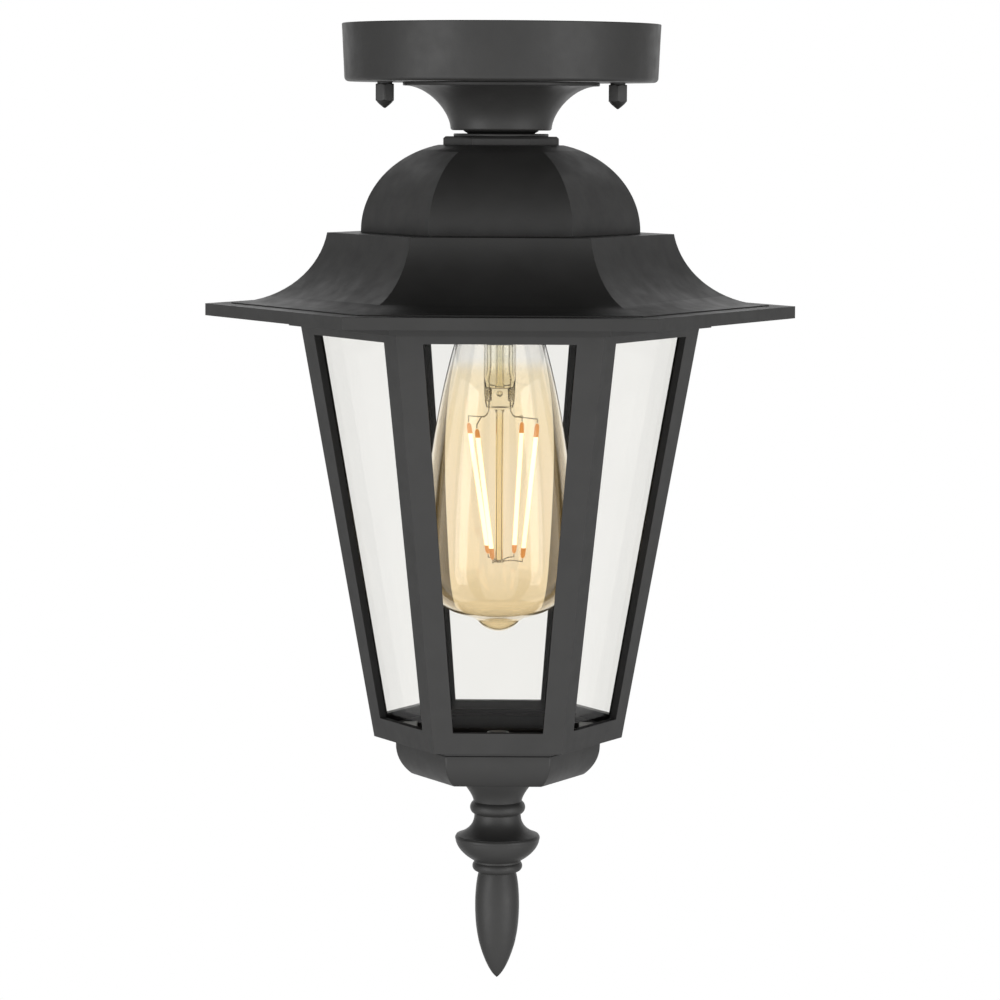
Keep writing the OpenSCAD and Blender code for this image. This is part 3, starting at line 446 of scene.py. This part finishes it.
def extent(node):
    # half width, lowest and highest point of a CAD solid, in millimetres
    points = [vertex.co for vertex in nodes[node].data.vertices]
    sizes = max(p.x for p in points), min(p.z for p in points), max(p.z for p in points)
    return [round(size / mm, 3) for size in sizes]


def bodyOf(node):
    for body, members in frame["record"]["behaviour"]["bodies"].items():
        if node in members:
            return body


def smooth(mesh, angle):
    for face in mesh.polygons:
        face.use_smooth = True
    mesh.set_sharp_from_angle(angle=math.radians(angle))


def putInPlace(mesh, name, *replaced, rounding=0.0, sharp=32, segments=2):
    node = replaced[0]
    if not mesh.materials:
        mesh.materials.append(finish[slots[node]])
    smooth(mesh, sharp)
    piece = bpy.data.objects.new(name, mesh)
    bpy.context.scene.collection.objects.link(piece)
    if rounding:
        edges = piece.modifiers.new("edges", "BEVEL")
        edges.width = rounding * mm
        edges.segments = segments
        edges.limit_method = "ANGLE"
        edges.angle_limit = math.radians(24)
        edges.use_clamp_overlap = True
        even = piece.modifiers.new("evenLight", "WEIGHTED_NORMAL")
        even.keep_sharp = True
    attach(piece, bodyOf(node))
    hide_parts(*replaced)
    return piece


def rounded(node, rounding, **options):
    # the casting as it is, with its sharp edges rounded
    form = bmesh.new()
    form.from_mesh(nodes[node].data)
    bmesh.ops.remove_doubles(form, verts=form.verts, dist=2e-6)
    flat = math.radians(0.5)
    bmesh.ops.dissolve_limit(
        form, angle_limit=flat, use_dissolve_boundaries=False, verts=form.verts, edges=form.edges
    )
    mesh = bpy.data.meshes.new(node + "Rounded")
    form.to_mesh(mesh)
    form.free()
    for attribute in [a.name for a in mesh.attributes if a.name == "custom_normal"]:
        mesh.attributes.remove(mesh.attributes[attribute])
    return putInPlace(mesh, node + "Rounded", node, rounding=rounding, **options)


def shape(form, name, *replaced, **options):
    # forms are drawn in millimetres
    bmesh.ops.recalc_face_normals(form, faces=form.faces)
    bmesh.ops.scale(form, vec=(mm, mm, mm), verts=form.verts)
    mesh = bpy.data.meshes.new(name)
    form.to_mesh(mesh)
    form.free()
    return putInPlace(mesh, name, *replaced, **options)


def arc(centre, radius, start, end, steps=10):
    angles = [math.radians(start + (end - start) * k / steps) for k in range(steps + 1)]
    return [(centre[0] + radius * math.cos(a), centre[1] + radius * math.sin(a)) for a in angles]


def curve(a, b, c, d, steps=16):
    points = []
    for k in range(steps + 1):
        t = k / steps
        weights = ((1 - t) ** 3, 3 * t * (1 - t) ** 2, 3 * t * t * (1 - t), t ** 3)
        points.append(tuple(sum(w * p[i] for w, p in zip(weights, (a, b, c, d))) for i in (0, 1)))
    return points


def turn(form, outline, steps=96, loop=False, place=Matrix()):
    # a radius may be a number, or a function of the angle
    rings = []
    for radius, height in outline:
        if not callable(radius) and radius < 1e-5:
            rings.append([form.verts.new(place @ Vector((0, 0, height)))])
            continue
        ring = []
        for k in range(steps):
            angle = 2 * math.pi * k / steps
            r = radius(angle) if callable(radius) else radius
            ring.append(form.verts.new(place @ Vector((r * math.cos(angle), r * math.sin(angle), height))))
        rings.append(ring)
    pairs = list(zip(rings, rings[1:]))
    if loop:
        pairs.append((rings[-1], rings[0]))
    for upper, lower in pairs:
        for k in range(steps):
            corners = (upper[k % len(upper)], upper[(k + 1) % len(upper)])
            corners += (lower[(k + 1) % len(lower)], lower[k % len(lower)])
            corners = list(dict.fromkeys(corners))
            if len(corners) > 2:
                form.faces.new(corners)


def at(x=0, y=0, z=0, spin=0, axis="Z"):
    return Matrix.Translation((x, y, z)) @ Matrix.Rotation(math.radians(spin), 4, axis)


def threadOutline(radius, depth, pitch, foot, top, rows=8, rounded=False):
    # one row of points for each step up the thread, with its ends chamfered
    def radiusAt(height):
        reach = min(height - foot, top - height)
        limit = radius - max(0, depth * 1.2 - reach)

        def along(angle):
            phase = (height / pitch - angle / (2 * math.pi)) % 1
            if rounded:
                ridge = 0.5 + 0.5 * math.cos(2 * math.pi * phase)
            else:
                # straight flanks, cut flat at crest and root
                ridge = 1.15 - abs(2 * phase - 1) * 1.3
            return min(limit, radius - depth * (1 - min(1, max(0, ridge))))
        return along

    count = max(4, round((top - foot) / pitch * rows))
    heights = [foot + (top - foot) * k / count for k in range(count + 1)]
    return [(radiusAt(height), height) for height in heights]


def hexagon(across, foot, top, start, slope):
    # radius at a height, with the corners turned off at both ends
    def radiusAt(height):
        limit = across / 2 * start + min(height - foot, top - height) * slope

        def along(angle):
            turned = (angle + math.pi / 6) % (math.pi / 3) - math.pi / 6
            return min(limit, across / 2 / math.cos(turned))
        return along
    return radiusAt


def bored(bore, foot, top, chamfer):
    # the inside of a ring, from the top down
    radius, wide = bore / 2, bore / 2 + chamfer
    return [(wide, top), (radius, top - chamfer), (radius, foot + chamfer), (wide, foot)]


def nutOutline(across, bore, foot, top):
    radiusAt = hexagon(across, foot, top, 0.96, 1.73)
    steps = (0, 0.08, 0.16, 0.25, 0.36, 0.5, 0.7)
    heights = [foot + s for s in steps] + [top - s for s in reversed(steps)]
    return [(radiusAt(height), height) for height in heights] + bored(bore, foot, top, 0.35)


def sweep(form, points, radius, sides=14):
    # a round rod along a line of points, with domed ends
    points = [Vector(p) for p in points]
    ends = (points[1] - points[0]).normalized(), (points[-1] - points[-2]).normalized()
    path = [(points[0], ends[0], 0.55), (points[0] + ends[0] * radius * 0.35, ends[0], 1)]
    for before, here, after in zip(points, points[1:], points[2:]):
        path.append((here, (after - before).normalized(), 1))
    path += [(points[-1] - ends[1] * radius * 0.35, ends[1], 1), (points[-1], ends[1], 0.55)]
    side = ends[0].orthogonal().normalized()
    rings = []
    for here, along, size in path:
        side = (side - along * side.dot(along)).normalized()
        other = along.cross(side)
        ring = []
        for k in range(sides):
            angle = 2 * math.pi * k / sides
            outward = side * math.cos(angle) + other * math.sin(angle)
            ring.append(form.verts.new(here + outward * radius * size))
        rings.append(ring)
    for lower, upper in zip(rings, rings[1:]):
        for k in range(sides):
            n = (k + 1) % sides
            form.faces.new((lower[k], lower[n], upper[n], upper[k]))
    form.faces.new(rings[0])
    form.faces.new(rings[-1])


# Rounding of their edges, in millimetres
castings = {"canopy": 0.5, "dome": 0.5, "roof": 0.5, "cage": 0.45, "pan": 0.5}
paneEdge = 0.25
for node, rounding in castings.items():
    rounded(node, rounding)
for place in ("front", "front_right", "back_right", "back", "back_left", "front_left"):
    rounded("glass_" + place, paneEdge)
print("castings and panes rounded")

# From here on, heights and radii are in millimetres, from the ceiling down
neckSizes = {"flangeThick": 1.5, "footRadius": 20.2, "wall": 2.4, "bore": 5.0}


def makeNeck():
    flange, foot, top = extent("neck")
    flangeThick, radius, wall, bore = neckSizes.values()
    sweepTop = top - flangeThick
    drop = sweepTop - foot
    outline = [(flange - 0.3, top), (flange, top - 0.3)]
    outline += [(flange, sweepTop + 0.3), (flange - 0.25, sweepTop)]
    outline += curve(
        (flange - 0.7, sweepTop), (radius + 9.2, sweepTop), (radius + 0.6, sweepTop - 0.55 * drop),
        (radius, foot + 1), 40
    )
    outline += arc((radius - 1, foot + 1), 1, 0, -90, 8)[1:]
    outline += [(bore + 0.2, foot), (bore, foot + 0.2), (bore, foot + wall)]
    outline += [(radius - wall - 1, foot + wall)]
    outline += reversed(curve(
        (flange - 8, top), (radius + 5.2, sweepTop - wall), (radius - wall, sweepTop - 0.65 * drop),
        (radius - wall, foot + wall + 1), 24
    ))
    form = bmesh.new()
    turn(form, outline, 160, loop=True)
    shape(form, "turnedNeck", "neck")


def makeWasher(name, node, bore, taper=0.0, edge=0.2):
    outer, foot, top = extent(node)
    form = bmesh.new()
    turn(form, [
        (bore / 2, foot), (outer - taper - edge, foot), (outer - taper, foot + edge),
        (outer, top - edge), (outer - edge, top), (bore / 2, top)
    ], 128, loop=True)
    shape(form, name, node, rounding=edge / 2)


finialSizes = {
    "bore": 5.0,
    "boreDepth": 13,
    "head": [                # profile of the turned head, radius and height from the top
        ("curve", (15, -0.8), (13, -4), (10.5, -6.5), (9.8, -9.6)),
        ("arc", (8.3, -12.4), 2.9, 60, -66),
        ("curve", (9.4, -15.2), (9.4, -19), (11.5, -22), (16.7, -23.7)),
        ("arc", (15.9, -24.9), 1.3, 50, -20),
        ("curve", (17.05, -25.5), (16.6, -29), (13.5, -32), (9.5, -34.2)),
        ("arc", (7.9, -36.5), 2.25, 45, -75),
    ],
    "drop": [
        ("curve", (7.65, -39.2), (9.4, -46.16), (9.4, -58.775), (7.6, -66.605)),
        ("curve", (7.45, -67.475), (6.6, -70.955), (3.8, -80), (0, -82.7)),
    ],
}


def makeFinial():
    outline = [(finialSizes["bore"], 0), (14.8, 0), (15, -0.2)]
    for kind, *numbers in finialSizes["head"] + finialSizes["drop"]:
        outline += curve(*numbers, 20) if kind == "curve" else arc(*numbers, 14)
    outline += [(0, -finialSizes["boreDepth"]), (finialSizes["bore"], -finialSizes["boreDepth"])]
    form = bmesh.new()
    # the last ring of the bore meets the top again
    turn(form, outline + outline[:1], 144)
    bmesh.ops.remove_doubles(form, verts=form.verts, dist=1e-4)
    bmesh.ops.translate(form, vec=(0, 0, extent("finial")[2]), verts=form.verts)
    shape(form, "turnedFinial", "finial", sharp=28)


makeNeck()
makeWasher("taperSpacer", "taper_spacer", bore=10, taper=1.5)
makeWasher("discWasher", "disc_washer", bore=10)
makeWasher("finialWasher", "finial_washer", bore=10.5)
makeFinial()
print("turned pieces made")

capNut = {"across": 7.2, "collar": 0.8, "point": 2.9, "bore": 2.05, "boreTop": -30.0}
studPlace = 46.4             # of both studs, from the axis
studThread = {"radius": 2.0, "depth": 0.34, "pitch": 0.7}
tubeThread = {"depth": 0.5, "pitch": 1.0, "bore": 7.2}
# Node, across flats, bore, heights of the feet, thickness and places of each set of hexagon nuts
hexagonNuts = {
    "studNutsHex": ("stud_nuts", 7, 4.1, [-5.2], 3.2, [-studPlace, studPlace]),
    "tubeNutsHex": ("tube_nuts", 14, 10, [-20.5, -52.5, -57.5], 3, [0]),
    "finialTubeNutsHex": ("finial_tube_nuts", 14, 10, [-289.4, -294.0], 3, [0]),
}


def makeCapNuts():
    across, collar, point, bore, boreTop = capNut.values()
    tip, seat = extent("cap_nuts")[1:]
    top, foot, seat = seat - collar, tip + point, seat - 0.02
    radiusAt = hexagon(across, foot, top, 0.97, 1.4)
    steps = (0, 0.08, 0.18, 0.3, 0.45)
    heights = [top - s for s in steps] + [foot + s for s in reversed(steps)]
    outline = [(bore, seat), (across * 0.42, seat), (across * 0.42, top)]
    outline += [(radiusAt(height), height) for height in heights]
    outline += curve((3.35, foot), (2.9, foot - 0.9), (1.5, foot - 1.9), (0.45, foot - 2.75), 8)
    outline += [(0.2, tip + 0.03), (0, tip), (0, boreTop), (bore, boreTop), (bore, seat)]
    form = bmesh.new()
    for side in (-1, 1):
        turn(form, outline, 96, place=at(side * studPlace))
    bmesh.ops.remove_doubles(form, verts=form.verts, dist=1e-4)
    shape(form, "pointedCapNuts", "cap_nuts", sharp=26)


def makeStuds():
    foot, top = extent("canopy_studs")[1:]
    outline = [(0, foot)] + threadOutline(*studThread.values(), foot, top) + [(0, top)]
    form = bmesh.new()
    for side in (-1, 1):
        turn(form, outline, 28, place=at(side * studPlace))
    shape(form, "threadedStuds", "canopy_studs", sharp=50)


def makeNuts():
    for name, (node, across, bore, feet, thick, places) in hexagonNuts.items():
        form = bmesh.new()
        for foot in feet:
            outline = nutOutline(across, bore, foot, foot + thick)
            for x in places:
                turn(form, outline, 96, loop=True, place=at(x, spin=30))
        shape(form, name, node, sharp=26)


def makeTube(name, node):
    radius, foot, top = extent(node)
    depth, pitch, bore = tubeThread.values()
    outline = threadOutline(radius, depth, pitch, foot, top) + bored(bore, foot, top, 0.2)
    form = bmesh.new()
    turn(form, outline, 56, loop=True)
    shape(form, name, node, sharp=50)


def crossRecess(reach, width):
    def along(angle):
        c, s = abs(math.cos(angle)) + 1e-9, abs(math.sin(angle)) + 1e-9
        return max(min(reach / c, width / s), min(width / c, reach / s))
    return along


def screw(form, radius, seat, height, shank, length, place):
    # drawn with its head up: a domed head on the seat, with a cross recess, and the shank below it
    top = seat + height
    turn(form, [
        (0, seat - length), (shank - 0.3, seat - length), (shank, seat - length + 0.3), (shank, seat),
        (radius - 0.12, seat), (radius, seat + 0.12), (radius, seat + height * 0.42),
        (radius * 0.94, seat + height * 0.68), (radius * 0.78, seat + height * 0.88), (radius * 0.58, top),
        (crossRecess(radius * 0.52, radius * 0.13), top),
        (crossRecess(radius * 0.40, radius * 0.10), top - height * 0.45), (0, top - height * 0.55)
    ], 64, place=place)


def flipped(x=0, y=0):
    return Matrix.Translation((x, y, 0)) @ Matrix.Rotation(math.pi, 4, "X")


def onCircle(radius, *angles):
    return [(radius * math.cos(math.radians(a)), radius * math.sin(math.radians(a))) for a in angles]


# Head radius and height, shank radius, and the places of each set whose heads point down
hangingScrews = {
    "ground_screw": (3.45, 2.0, 1.5, [(18, 0)]),
    "dome_screws": (3.2, 2.2, 1.9, onCircle(44, 0, 120, 240)),
    "cage_screws": (3.2, 2.2, 1.9, onCircle(73, 60, 180, 300)),
    "clip_screws": (2.0, 1.4, 1.25, onCircle(59.27, 30, 90, 150, 210, 270, 330)),
}
bracketScrew = {"radius": 2.8, "height": 2.0, "shank": 1.5, "aside": 11.5}
terminalScrew = {"radius": 3.5, "height": 1.85, "shank": 1.5, "length": 6.6}


def makeScrews():
    for node, (radius, height, shank, places) in hangingScrews.items():
        foot, top = extent(node)[1:]
        seat = foot + height
        form = bmesh.new()
        for x, y in places:
            screw(form, radius, -seat, height, shank, top - seat, flipped(x, y))
        shape(form, node + "Crossed", node, sharp=38)

    radius, height, shank, aside = bracketScrew.values()
    foot, top = extent("bracket_screws")[1:]
    form = bmesh.new()
    for side in (-1, 1):
        screw(form, radius, top - height, height, shank, top - height - foot, at(0, side * aside))
    shape(form, "bracketScrewsCrossed", "bracket_screws", sharp=38)

    radius, height, shank, length = terminalScrew.values()
    reach, foot, top = extent("terminal_screws")
    form = bmesh.new()
    for side in (-1, 1):
        place = at(z=(foot + top) / 2, spin=side * 90, axis="Y")
        screw(form, radius, reach - height, height, shank, length, place)
    shape(form, "terminalScrewsCrossed", "terminal_screws", sharp=38)


lockWasher = {"bore": 10, "root": 7.1, "teeth": 12}


def makeLockWasher():
    crest, foot, top = extent("lock_washer")
    bore, root, count = lockWasher.values()

    def teeth(angle):
        return crest if math.cos(count * angle) > 0 else root

    form = bmesh.new()
    turn(form, [(bore / 2, foot), (teeth, foot), (teeth, top), (bore / 2, top)], 144, loop=True)
    shape(form, "toothedWasher", "lock_washer", sharp=26)


makeCapNuts()
makeStuds()
makeNuts()
makeTube("threadedTubeCut", "threaded_tube")
makeTube("finialTubeCut", "finial_tube")
makeLockWasher()
makeScrews()
# rounding of the edges of what is pressed from sheet
pressed = {"mounting_strap": 0.3, "glass_clips": 0.12, "pan_bridge": 0.35, "lampholder_bracket": 0.4}
for node, rounding in pressed.items():
    rounded(node, rounding)
print("fixings made")

leadRoute = {
    "radius": 1.0,
    "inTube": 1.4,           # from the axis to the middle of the lead
    "bend": 3.0,
    "bare": 8.0,             # length of the bare end in the canopy
    "under": -62.25,         # height of the run under the tube
    "terminal": 20.2,
    "strippedAt": -69.0,
}
strand = {
    "count": 7,
    "radius": 0.165,
    "lay": 0.33,             # from the core's middle to an outer strand's
    "twist": 50,             # degrees a millimetre
    "step": 0.4,
    "inTerminal": 3.4,
}


def twisted(k, length):
    # distance along the lead and the two distances off its middle; the last strand is the core
    outer = strand["count"] - 1
    radius = 0.0 if k == outer else strand["lay"]
    for step in range(int(length / strand["step"]) + 1):
        along = min(length, step * strand["step"])
        angle = math.radians(360 / outer * k + along * strand["twist"])
        yield along, radius * math.cos(angle), radius * math.sin(angle)


def makeLead(name, node, side):
    radius, inTube, bend, bare, under, terminal, strippedAt = leadRoute.values()
    widths = [abs(vertex.co.x) / mm for vertex in nodes[node].data.vertices]
    end, over = round(max(widths), 3) - bare, extent(node)[2] - radius
    route = [(end, over), (end - 4, over), (end - 10, over), (inTube + bend, over)]
    route += arc((inTube + bend, over - bend), bend, 90, 180, 10)[1:]
    route += [(inTube, -25), (inTube, -42)]
    route += arc((inTube + bend, under + bend), bend, 180, 270, 10)
    route += [((inTube + terminal) / 2, under)]
    route += arc((terminal - bend, under - bend), bend, 90, 0, 10)
    route += [(terminal, strippedAt)]
    form = bmesh.new()
    sweep(form, [(side * x, 0, z) for x, z in route], radius, 20)
    insulated = len(form.faces)
    # the bare strands start 1 mm inside the insulation
    for k in range(strand["count"]):
        line = [(end - 1 + along, a, over + b) for along, b, a in twisted(k, bare + 1)]
        sweep(form, [(side * x, y, z) for x, y, z in line], strand["radius"], 8)
    for k in range(strand["count"]):
        inTerminal = twisted(k, strand["inTerminal"])
        line = [(terminal + b, a, strippedAt + 1 - along) for along, b, a in inTerminal]
        sweep(form, [(side * x, y, z) for x, y, z in line], strand["radius"], 8)
    for index, face in enumerate(form.faces):
        face.material_index = 0 if index < insulated else 1
    bmesh.ops.recalc_face_normals(form, faces=form.faces)
    bmesh.ops.scale(form, vec=(mm, mm, mm), verts=form.verts)
    mesh = bpy.data.meshes.new(name)
    form.to_mesh(mesh)
    form.free()
    mesh.materials.append(finish[slots[node]])
    mesh.materials.append(copper)
    putInPlace(mesh, name, node, sharp=50)


capPitch = 3.629             # of the thread of cap and shell


def makeShell():
    # a rolled brass thread, thin enough to stay between the porcelain and the cap
    radius, foot, top = extent("lampholder_shell")
    outer = threadOutline(radius - 0.03, 0.25, capPitch, foot, top, 12, rounded=True)
    inner = [((lambda angle, r=radius: r(angle) - 0.28), height) for radius, height in reversed(outer)]
    form = bmesh.new()
    turn(form, outer + inner, 96, loop=True)
    shape(form, "rolledShell", "lampholder_shell", sharp=50)


makeLead("leadLive", "lead_live", 1)
makeLead("leadNeutral", "lead_neutral", -1)
makeShell()
rounded("lampholder_body", 0.5)
rounded("lampholder_contact", 0.4)
print("lampholder made")

bulb = {
    "neck": 12.6,            # radius where the glass enters the cap
    "bowl": 20.0,            # radius of the lower corner
    "base": 64.0,            # radius of the almost flat foot
    "bellyHeight": -216.8,   # of the largest radius
    "wall": 0.8,
}


def bulbSide():
    belly, foot, top = extent("bulb_glass")
    neck, bellyHeight, capFoot = bulb["neck"], bulb["bellyHeight"], extent("bulb_cap")[1]
    bowlCentre = (belly - bulb["bowl"], bellyHeight)
    baseCentre = (0, foot + 5 + bulb["base"])
    lean = math.degrees(math.atan2(baseCentre[1] - bowlCentre[1], -bowlCentre[0]))
    side = [(neck, top), (neck, capFoot + 3)]
    side += curve(
        (neck, capFoot), (neck + 7.2, capFoot - 18.5), (belly, capFoot - 60.5), (belly, bellyHeight), 60
    )
    side += arc(bowlCentre, bulb["bowl"], -3, lean - 180, 24)
    side += [p for p in arc(baseCentre, bulb["base"], lean - 181, -90, 24) if p[0] > 13.9]
    # the drawn tip where the glass was closed
    side += curve((13.6, foot + 6.46), (10.8, foot + 5.85), (9.0, foot + 4.78), (7.94, foot + 3.58), 12)
    return side + arc((0, foot + 10.6), 10.6, -41.5, -90, 14)[1:-1] + [(0, foot)]


def inward(outline, distance):
    # the same line, moved off its left side by the wall
    moved = []
    for before, here, after in zip(outline[:1] + outline[:-1], outline, outline[1:] + outline[-1:]):
        dx, dz = after[0] - before[0], after[1] - before[1]
        reach = math.hypot(dx, dz)
        moved.append((here[0] + dz / reach * distance, here[1] - dx / reach * distance))
    return moved[:-1] + [(0, outline[-1][1] + distance)]


def makeBulbGlass():
    outer = bulbSide()
    inner = inward(outer, bulb["wall"])
    form = bmesh.new()
    turn(form, outer + inner[::-1] + [outer[0]], 192)
    bmesh.ops.remove_doubles(form, verts=form.verts, dist=1e-4)
    shape(form, "blownBulb", "bulb_glass", sharp=60)


def makeCap():
    radius, foot, top = extent("bulb_cap")
    threads = threadOutline(radius, 0.42, capPitch, foot + 2.2, top - 2.5, 12, rounded=True)
    outline = [(12.65, foot), (12.95, foot), (13.0, foot + 0.3), (12.7, foot + 2.1)] + threads
    outline += [(12.2, top - 2.1), (11.6, top - 1.2), (10.0, top - 0.1), (9.4, top)]
    outline += [(12.0, top - 2.9), (12.1, foot + 6.5)]
    form = bmesh.new()
    turn(form, outline, 120, loop=True)
    shape(form, "threadedCap", "bulb_cap", sharp=55)


def makeContact():
    radius, foot, top = extent("bulb_contact")
    dome = curve((radius - 0.05, foot + 0.4), (4.2, top - 0.5), (2.4, top), (0, top), 10)
    form = bmesh.new()
    turn(form, [(0, foot), (radius - 0.2, foot), (radius, foot + 0.2)] + dome, 48)
    shape(form, "solderDome", "bulb_contact", sharp=40)


stem = {
    "tube": 6.5,             # radius of the glass tube
    "wall": 1.1,
    "flareTop": -105.6,
    "flareRadius": 11.4,
    "flattens": -138.0,      # height where the tube starts to flatten
    "pinchTop": -143.2,
    "foot": -153.6,
    "pinch": (6.2, 1.6),     # half width and half thickness of its flattened end
    "thin": (1.6, 1.0),      # outer and inner radius of the narrow tube inside
    "thinTop": -106,
    "thinFoot": -144.6,
    "bubble": (1.3, 4.1),    # its radius, and how far it lies under the top of the pinch
    "rod": 1.6,
}


def flattened(half, inset=0.0):
    # from the round tube to the flat pinch
    radius = stem["tube"] - inset
    wide = radius + (stem["pinch"][0] - inset - radius) * half
    thin = radius + (stem["pinch"][1] - inset - radius) * half

    def along(angle):
        return 1 / math.hypot(math.cos(angle) / wide, math.sin(angle) / max(0.25, thin))
    return along


def makeStem():
    tube, wall, pinchTop, foot = stem["tube"], stem["wall"], stem["pinchTop"], stem["foot"]
    lip = (stem["flareRadius"], stem["flareTop"])
    outline = curve(lip, (tube + 2.2, -108), (tube, -112), (tube, -117), 16)
    outline += [(tube, -125), (tube, -134)]
    inner = [(r - wall, z) for r, z in outline]
    start, steps = stem["flattens"], 10
    for k in range(steps + 1):
        half = (1 - math.cos(math.pi * k / steps)) / 2
        outline.append((flattened(half), start + (pinchTop - 3 - start) * k / steps))
        within = start + 0.4
        inner.append((flattened(half * 0.96, wall), within + (pinchTop - 1 - within) * k / steps))
    for inset, height in ((0.1, 5.0), (0.4, 2.6), (0.9, 0.9), (1.4, 0.2), (1.55, 0)):
        outline.append((flattened(1, inset), foot + height))
    inner += [(flattened(0.96, wall + 0.5), pinchTop - 1.6), (0, pinchTop - 1.8)]
    form = bmesh.new()
    turn(form, outline + [(0, foot)] + inner[::-1] + outline[:1], 96)
    # the narrow tube through which the bulb was pumped out
    outside, bore = stem["thin"]
    thinTop, thinFoot = stem["thinTop"], stem["thinFoot"]
    levels = range(-142, thinTop, 6)
    thin = [(outside, thinTop)] + [(outside, z) for z in reversed(levels)] + [(outside + 0.3, thinFoot)]
    thin += [(bore, thinFoot + 0.4)] + [(bore, z) for z in levels] + [(bore, thinTop)]
    turn(form, thin, 48, loop=True)
    # the rod that carries the filaments' feet
    rod, rodFoot = stem["rod"], extent("bulb_stem")[1]
    turn(form, [
        (0, foot + 0.02), (rod + 0.5, foot + 0.02), (rod + 0.15, foot - 0.8), (rod, foot - 2), (rod, -180),
        (rod, rodFoot + 0.7), (rod - 0.25, rodFoot + 0.2), (rod - 0.8, rodFoot), (0, rodFoot)
    ], 48)
    bmesh.ops.remove_doubles(form, verts=form.verts, dist=1e-4)
    # the bubble that is left where the narrow tube ends
    bubble, below = stem["bubble"]
    middle = pinchTop - below
    turn(form, [(0, middle + bubble)] + arc((0, middle), bubble, 72, -72, 8) + [(0, middle - bubble)], 24)
    shape(form, "blownStem", "bulb_stem", sharp=60)


filament = {
    "count": 4,
    "turn": 55,              # degrees from +X to the first
    "headRadius": 15.5,
    "footRadius": 7.5,
    "head": -161.0,
    "foot": -212.38,
    "thickness": 1.0,
    # bent by hand: how far each end stands toward +X and higher
    "headShift": ((0.3, 1.3), (0.1, 1.2), (-0.1, 0.4), (2.3, 2.4)),
    "footShift": ((1.8, 0), (1.8, 0), (1.8, -1.2), (3.3, -0.8)),
}


def filamentEnds(k):
    angle = math.radians(filament["turn"] + 360 * k / filament["count"])
    ends = []
    for end in ("head", "foot"):
        aside, higher = filament[end + "Shift"][k]
        away = filament[end + "Radius"]
        x, y = away * math.cos(angle) + aside, away * math.sin(angle)
        ends.append(Vector((x, y, filament[end] + higher)))
    return ends


def makeFilaments():
    form = bmesh.new()
    for k in range(filament["count"]):
        head, foot = filamentEnds(k)
        along = (foot - head).normalized()
        length = (foot - head).length
        turned = Matrix.Translation(head) @ along.to_track_quat("Z", "Y").to_matrix().to_4x4()
        r = filament["thickness"]
        turn(form, [
            (0, 0), (0.34, 0.02), (0.55, 0.25), (0.85, 0.9), (0.95, 1.8), (r, 3.4), (r, length * 0.3),
            (r, length * 0.6), (r, length - 3.2), (0.95, length - 1.8), (0.85, length - 0.9),
            (0.55, length - 0.25), (0.34, length - 0.02), (0, length)
        ], 24, place=turned)
    shape(form, "litFilaments", "bulb_filaments", sharp=50)


# Distances from the axis and heights of the wire on each side: out of the tube, through the pinch and
# round to the branch; and those of the thicker piece that is sealed into the flattened glass
wireLevel = stem["foot"] - 3.0
wireRoute = [
    (5.2, -107), (4.6, -112), (3.9, -122), (3.7, -134), (4.0, -142), (4.2, -147), (4.3, stem["foot"] + 0.6),
    (4.5, stem["foot"] - 0.8), (5.2, stem["foot"] - 2.2), (6.2, wireLevel), (7.4, wireLevel)
]
sealRoute = [(4.25, stem["foot"] + 3.2), (4.2, stem["foot"] + 5.6), (4.1, stem["foot"] + 8.6)]
sealRadius = 1.05
frontLeft = 2                # the filament whose wire slants down instead of running level
wires = {
    "radius": 0.30,
    "branch": 0.85,          # radius of a branch, as a share of the wire's
    "knee": 7.3,             # from the axis to where the branches part
    "over": 1.8,             # height of a branch over its filament's head
    "hook": 0.8,             # radius of the wires at the feet, as a share of the wire's
    "hub": 2.4,              # height of the feet over the ring
}


def makeWires():
    form = bmesh.new()
    r = wires["radius"]
    for side in (-1, 1):
        sweep(form, [(side * x, 0, z) for x, z in wireRoute], r, 12)
        sweep(form, [(side * x, 0, z) for x, z in sealRoute], sealRadius, 20)
    hub = Vector((0, 0, filament["foot"] - wires["hub"]))
    for k in range(filament["count"]):
        head, end = filamentEnds(k)
        knee = Vector((math.copysign(wires["knee"], head.x), 0, wireLevel))
        over = head + Vector((0, 0, wires["over"]))
        if k != frontLeft:
            over.z = max(over.z, wireLevel - 0.4)
        sweep(form, [
            knee, knee.lerp(over, 0.35), knee.lerp(over, 0.8), over,
            over.lerp(head, 0.25), over.lerp(head, 0.6), head + Vector((0, 0, 0.25))
        ], r * wires["branch"], 10)
        start = hub + Vector((end.x, end.y, 0)).normalized() * 1.4
        low = end + Vector((0, 0, -0.2))
        sag = hub.lerp(low, 0.6) + Vector((0, 0, -0.3))
        sweep(form, [start, sag, low + Vector((0, 0, -1.2)), low], r * wires["hook"], 10)
    # the ring that holds them on the rod
    turn(form, [
        (1.66, hub.z - 0.5), (2.1, hub.z - 0.5), (2.3, hub.z - 0.3), (2.3, hub.z + 0.3), (2.1, hub.z + 0.5),
        (1.66, hub.z + 0.5)
    ], 40, loop=True)
    shape(form, "branchWires", "bulb_wires", sharp=50)


makeBulbGlass()
makeCap()
rounded("bulb_insulator", 0.15)
makeContact()
makeStem()
makeFilaments()
makeWires()
print("bulb made")
